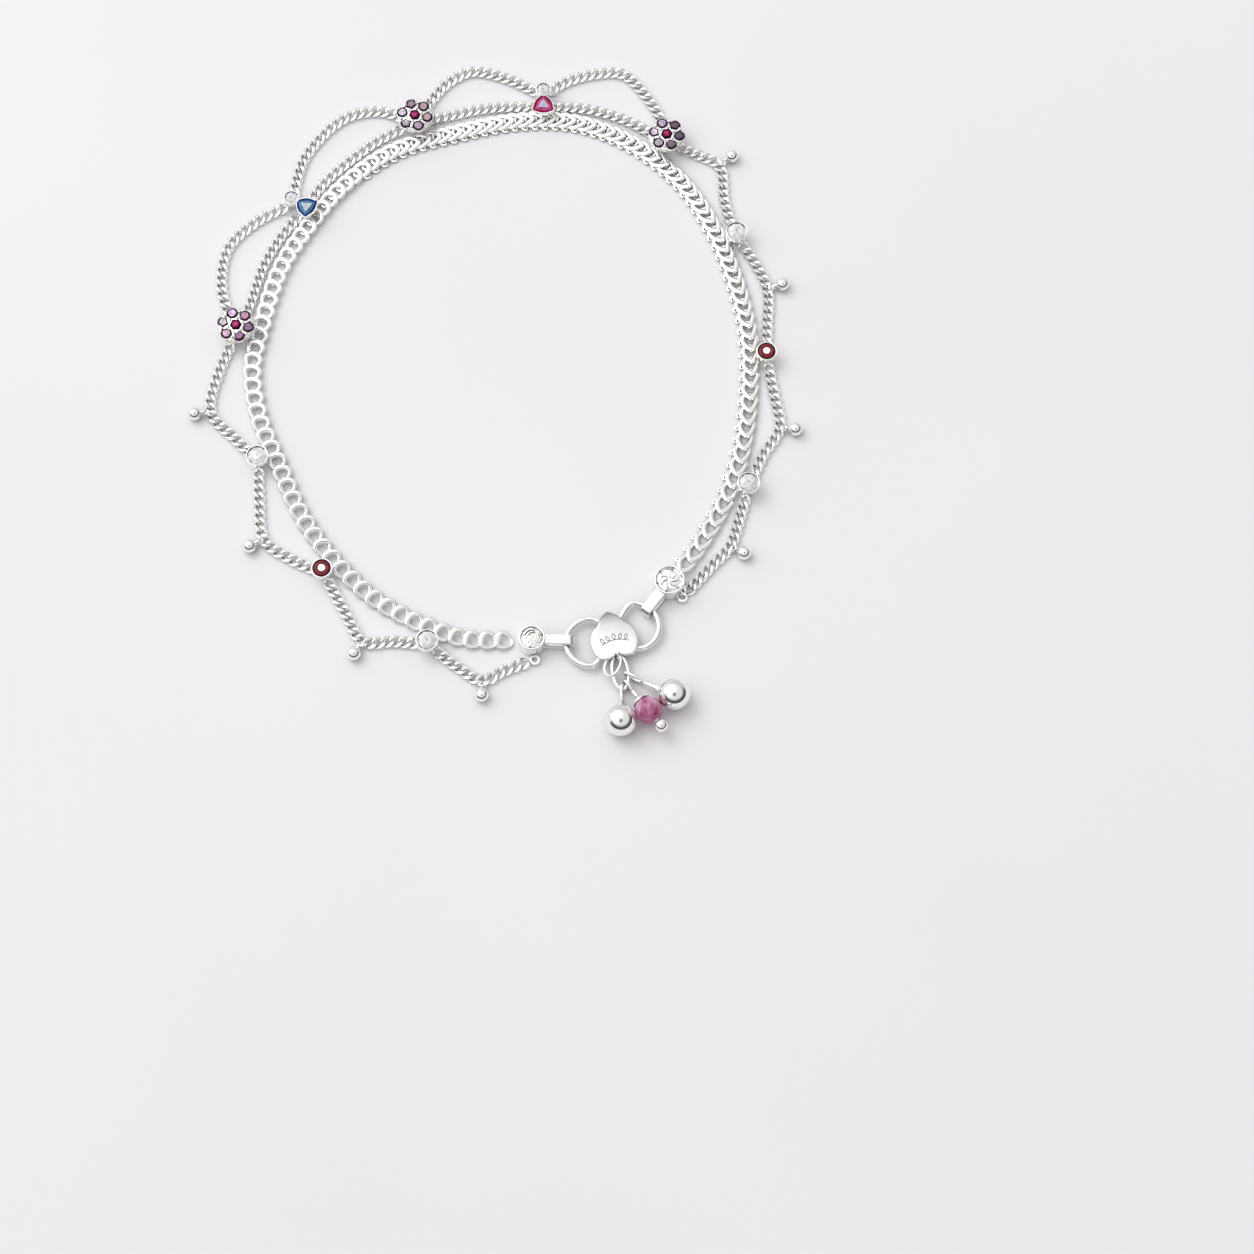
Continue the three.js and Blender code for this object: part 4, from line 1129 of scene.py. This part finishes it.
def jump_rings():
    shape = Shape(bail_point())
    for ring, steps, sides in ((OVAL_RING, 48, 14), (SECOND_RING, 40, 12)):
        spin = about_z(math.radians(ring["turn"]))
        loop = wire_loop(ring["length"], ring["width"], ring["wire"], steps, sides)
        shape.add(loop, spin @ (ring["reach"], 0, ring["lift"]), spin)
    make_piece("oval_jump_ring", shape, [bright_silver], ["jump_ring"])


def ball_charms():
    """Large polished balls, each on a neck that widens towards it."""
    rise = CHARM_RADIUS - RING_LEVEL
    for name, (seat, bearing, reach, eye) in BALL_CHARMS.items():
        charm = Shape(on_ring(seat), about_z(math.radians(bearing)))
        charm.add(upright_eye(eye))
        start = eye - EYE_HEIGHT / 2 - 0.5
        length = reach - CHARM_RADIUS * 0.72 - start
        neck = turned([(0, 0), (0.3, 0.02), (0.36, length * 0.25), (0.5, length * 0.5),
                       (0.74, length * 0.75), (0.95, length * 0.92), (1.0, length), (0, length)], 24)
        lean = math.atan2(rise * 0.35, length)
        charm.add(neck, (start, 0, 0), about_y(math.pi / 2 - lean))
        charm.add(ball(CHARM_RADIUS, 64, 32), (reach, 0, rise))
        make_piece(f"{name}_polished", charm, [bright_silver], [name])


def bead_charm():
    """A glass bead on a headpin with a flared cap, which rises from the ring to the bead's middle."""
    rise = math.asin((BEAD_RADIUS + 0.02 - RING_LEVEL) / BEAD_REACH)
    axis = about_z(math.radians(BEAD_BEARING)) @ about_y(math.pi / 2 - rise)
    frame = on_ring(BEAD_SEAT), axis
    bead = Shape(*frame)
    shell = [(math.sqrt(BEAD_RADIUS**2 - z * z), z) for z in np.linspace(-2.26, 2.26, 27)]
    profile = [(BEAD_HOLE, -2.2), *shell, (BEAD_HOLE, 2.2)]
    bead.add(closed_profile(profile, 48), UP * BEAD_REACH)
    make_piece("bead_of_glass", bead, [pink_glass], ["charm_bead"], edge=60)

    pin = Shape(*frame)
    pin.add(upright_eye(EYE_HEIGHT * 1.15), spin=about_y(-math.pi / 2))
    pin.add(disc(0.3, 1.3, 9.5, 16))
    cap = [(0.34, -0.8), (0.55, -0.86), (1.0, -0.6), (1.36, -0.2), (1.54, 0.25), (1.56, 0.4),
           (1.44, 0.4), (1.1, -0.02), (0.34, -0.2)]
    pin.add(closed_profile(cap, 36), UP * (BEAD_REACH - BEAD_RADIUS))
    collar = BEAD_REACH + BEAD_RADIUS + 0.15
    pin.add(torus(0.5, 0.28, 24), UP * collar)
    pin.add(ball(PIN_BALL - 0.02, 40, 20), UP * (collar + PIN_BALL))
    make_piece("headpin_and_cap", pin, [bright_silver], ["headpin"])


def drops():
    """Small polished balls, each held by a ringed neck at a festoon's corner."""
    neck = turned([(0, 0.9), (0.42, 1.05), (0.5, 1.2), (0.34, 1.32), (0.3, 1.42), (0.42, 1.5),
                   (0.42, 1.62), (0, 1.66)], 18)
    for number in range(1, 9):
        along, out = CURB_ROUTES[f"festoon_{number}"][2][1]
        point, heading = place(along, out + DROP_OUT)
        shape = Shape((*point, 0), about_z(heading + math.pi / 2))
        shape.add(ball(1.19, 40, 20), UP * DROP_LEVEL)
        shape.add(neck, UP * (DROP_LEVEL - 0.05), about_y(-math.pi / 2))
        shape.add(torus(0.42, 0.3, 20), (-1.98, 0, DROP_LEVEL - 0.3))
        make_piece(f"drop_ball_{number}", shape, [bright_silver], [f"drop_{number}"])


main_chain()
curb_chains()
clear_collets()
red_collets()
triangle_settings()
flowers()
end_pieces()
s_hook()
jump_rings()
ball_charms()
bead_charm()
drops()

# Floor, sky, softbox and camera, in metres
FLOOR_HALF = 1.5
CONTACT_REACH = 1.2
SKY_STRENGTH = 1.16
SKY_BRIGHT = (-0.6, 0.23, 0.77)
SKY_DOME = [(-1.0, 0.55), (0.0, 0.64), (0.4, 0.68), (0.62, 0.78), (0.8, 1.1), (0.93, 1.5)]
SKY_LOW = [(0.0, 0.08), (0.34, 0.14), (0.58, 1.0)]
SKY_FRONT = (0.35, -0.94, 0)
SKY_FRONT_STOPS = [(-0.35, 0.8), (0.1, 0.12)]
SKY_SPOT = (0, -0.342, 0.94)
SKY_SPOT_STOPS = [(0.955, 1.0), (0.99, 0.25)]
SOFTBOX_AT = (-0.35, 0.3, 0.6)
SOFTBOX_SIZE, SOFTBOX_POWER = 0.5, 1.3
FOCUS = np.array([0.02254, -0.04306, 0.0])
CAMERA_DISTANCE = 0.5
CAMERA_ELEVATION = 70
CAMERA_LENS, CAMERA_SENSOR = 86.1, 36


def floor():
    """A pale matt plane with painted contact shade: a little darker and warmer where the anklet touches it.
    """
    mesh = bpy.data.meshes.new("floor")
    corners = [(x * FLOOR_HALF, y * FLOOR_HALF, 0) for x, y in ((-1, -1), (1, -1), (1, 1), (-1, 1))]
    mesh.from_pydata(corners, [], [(0, 1, 2, 3)])
    piece = bpy.data.objects.new("floor", mesh)
    bpy.context.scene.collection.objects.link(piece)
    material, tree, shader = new_material("pale_floor")
    tone = ramp(tree, noise(tree, 9, 2), [(0.3, (0.79, 0.776, 0.8)), (0.7, (0.81, 0.796, 0.82))])
    # Painted contact shade from ambient occlusion
    shade = recesses(tree, 8, CONTACT_REACH, [(0.1, (0.92, 0.89, 0.85)), (0.6, (1, 1, 1))])
    fill(shader, {"Base Color": times(tree, tone, shade), "Roughness": 0.9})
    mesh.materials.append(material)
    piece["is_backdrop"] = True


def softbox():
    light = bpy.data.lights.new("softbox", "AREA")
    light.shape = "DISK"
    light.size = SOFTBOX_SIZE
    light.energy = SOFTBOX_POWER
    lamp = bpy.data.objects.new("softbox", light)
    lamp.location = SOFTBOX_AT
    lamp.rotation_euler = (-Vector(SOFTBOX_AT)).to_track_quat("-Z", "Y").to_euler()
    bpy.context.scene.collection.objects.link(lamp)


def grey_ramp(tree, source, stops, low=-1.0):
    """Brightness by (value, grey) stops, for values from low to 1."""
    share = add_node(tree, "MapRange", "Result", {"Value": source, "From Min": low})
    return ramp(tree, share, [((value - low) / (1 - low), [grey] * 3) for value, grey in stops])


def sky():
    """A bright studio dome, whitest at the upper left, with a dark low front and a small dark spot."""
    world = bpy.data.worlds.new("studio")
    bpy.context.scene.world = world
    world.use_nodes = True
    tree = world.node_tree
    direction = add_node(tree, "TexCoord", "Generated", {})
    dome = grey_ramp(tree, towards(tree, direction, SKY_BRIGHT), SKY_DOME)
    low = grey_ramp(tree, towards(tree, direction, (0, 0, 1)), SKY_LOW, 0.0)
    front = grey_ramp(tree, towards(tree, direction, SKY_FRONT), SKY_FRONT_STOPS)
    spot = grey_ramp(tree, towards(tree, direction, SKY_SPOT), SKY_SPOT_STOPS, 0.9)
    lower = add_node(tree, "Mix", "Result", {"Factor": 1, "A": low, "B": front}, data_type="RGBA",
                     blend_type="LIGHTEN")
    glow = times(tree, times(tree, dome, lower), spot)
    fill(tree.nodes["Background"], {"Color": glow, "Strength": SKY_STRENGTH})


def camera():
    lens = bpy.data.cameras.new("camera")
    lens.sensor_width = CAMERA_SENSOR
    lens.lens = CAMERA_LENS
    lens.clip_start = 0.01
    body = bpy.data.objects.new("camera", lens)
    rise = math.radians(CAMERA_ELEVATION)
    body.location = FOCUS + CAMERA_DISTANCE * np.array([0, -math.cos(rise), math.sin(rise)])
    body.rotation_euler = (math.radians(90 - CAMERA_ELEVATION), 0, 0)
    bpy.context.scene.collection.objects.link(body)
    bpy.context.scene.camera = body


floor()
sky()
softbox()
camera()
bpy.context.scene.view_settings.view_transform = "Standard"

boxes = {"cad": cad_bounds, "visual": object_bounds()}
{name: [list(corner) for corner in box] for name, box in boxes.items()}
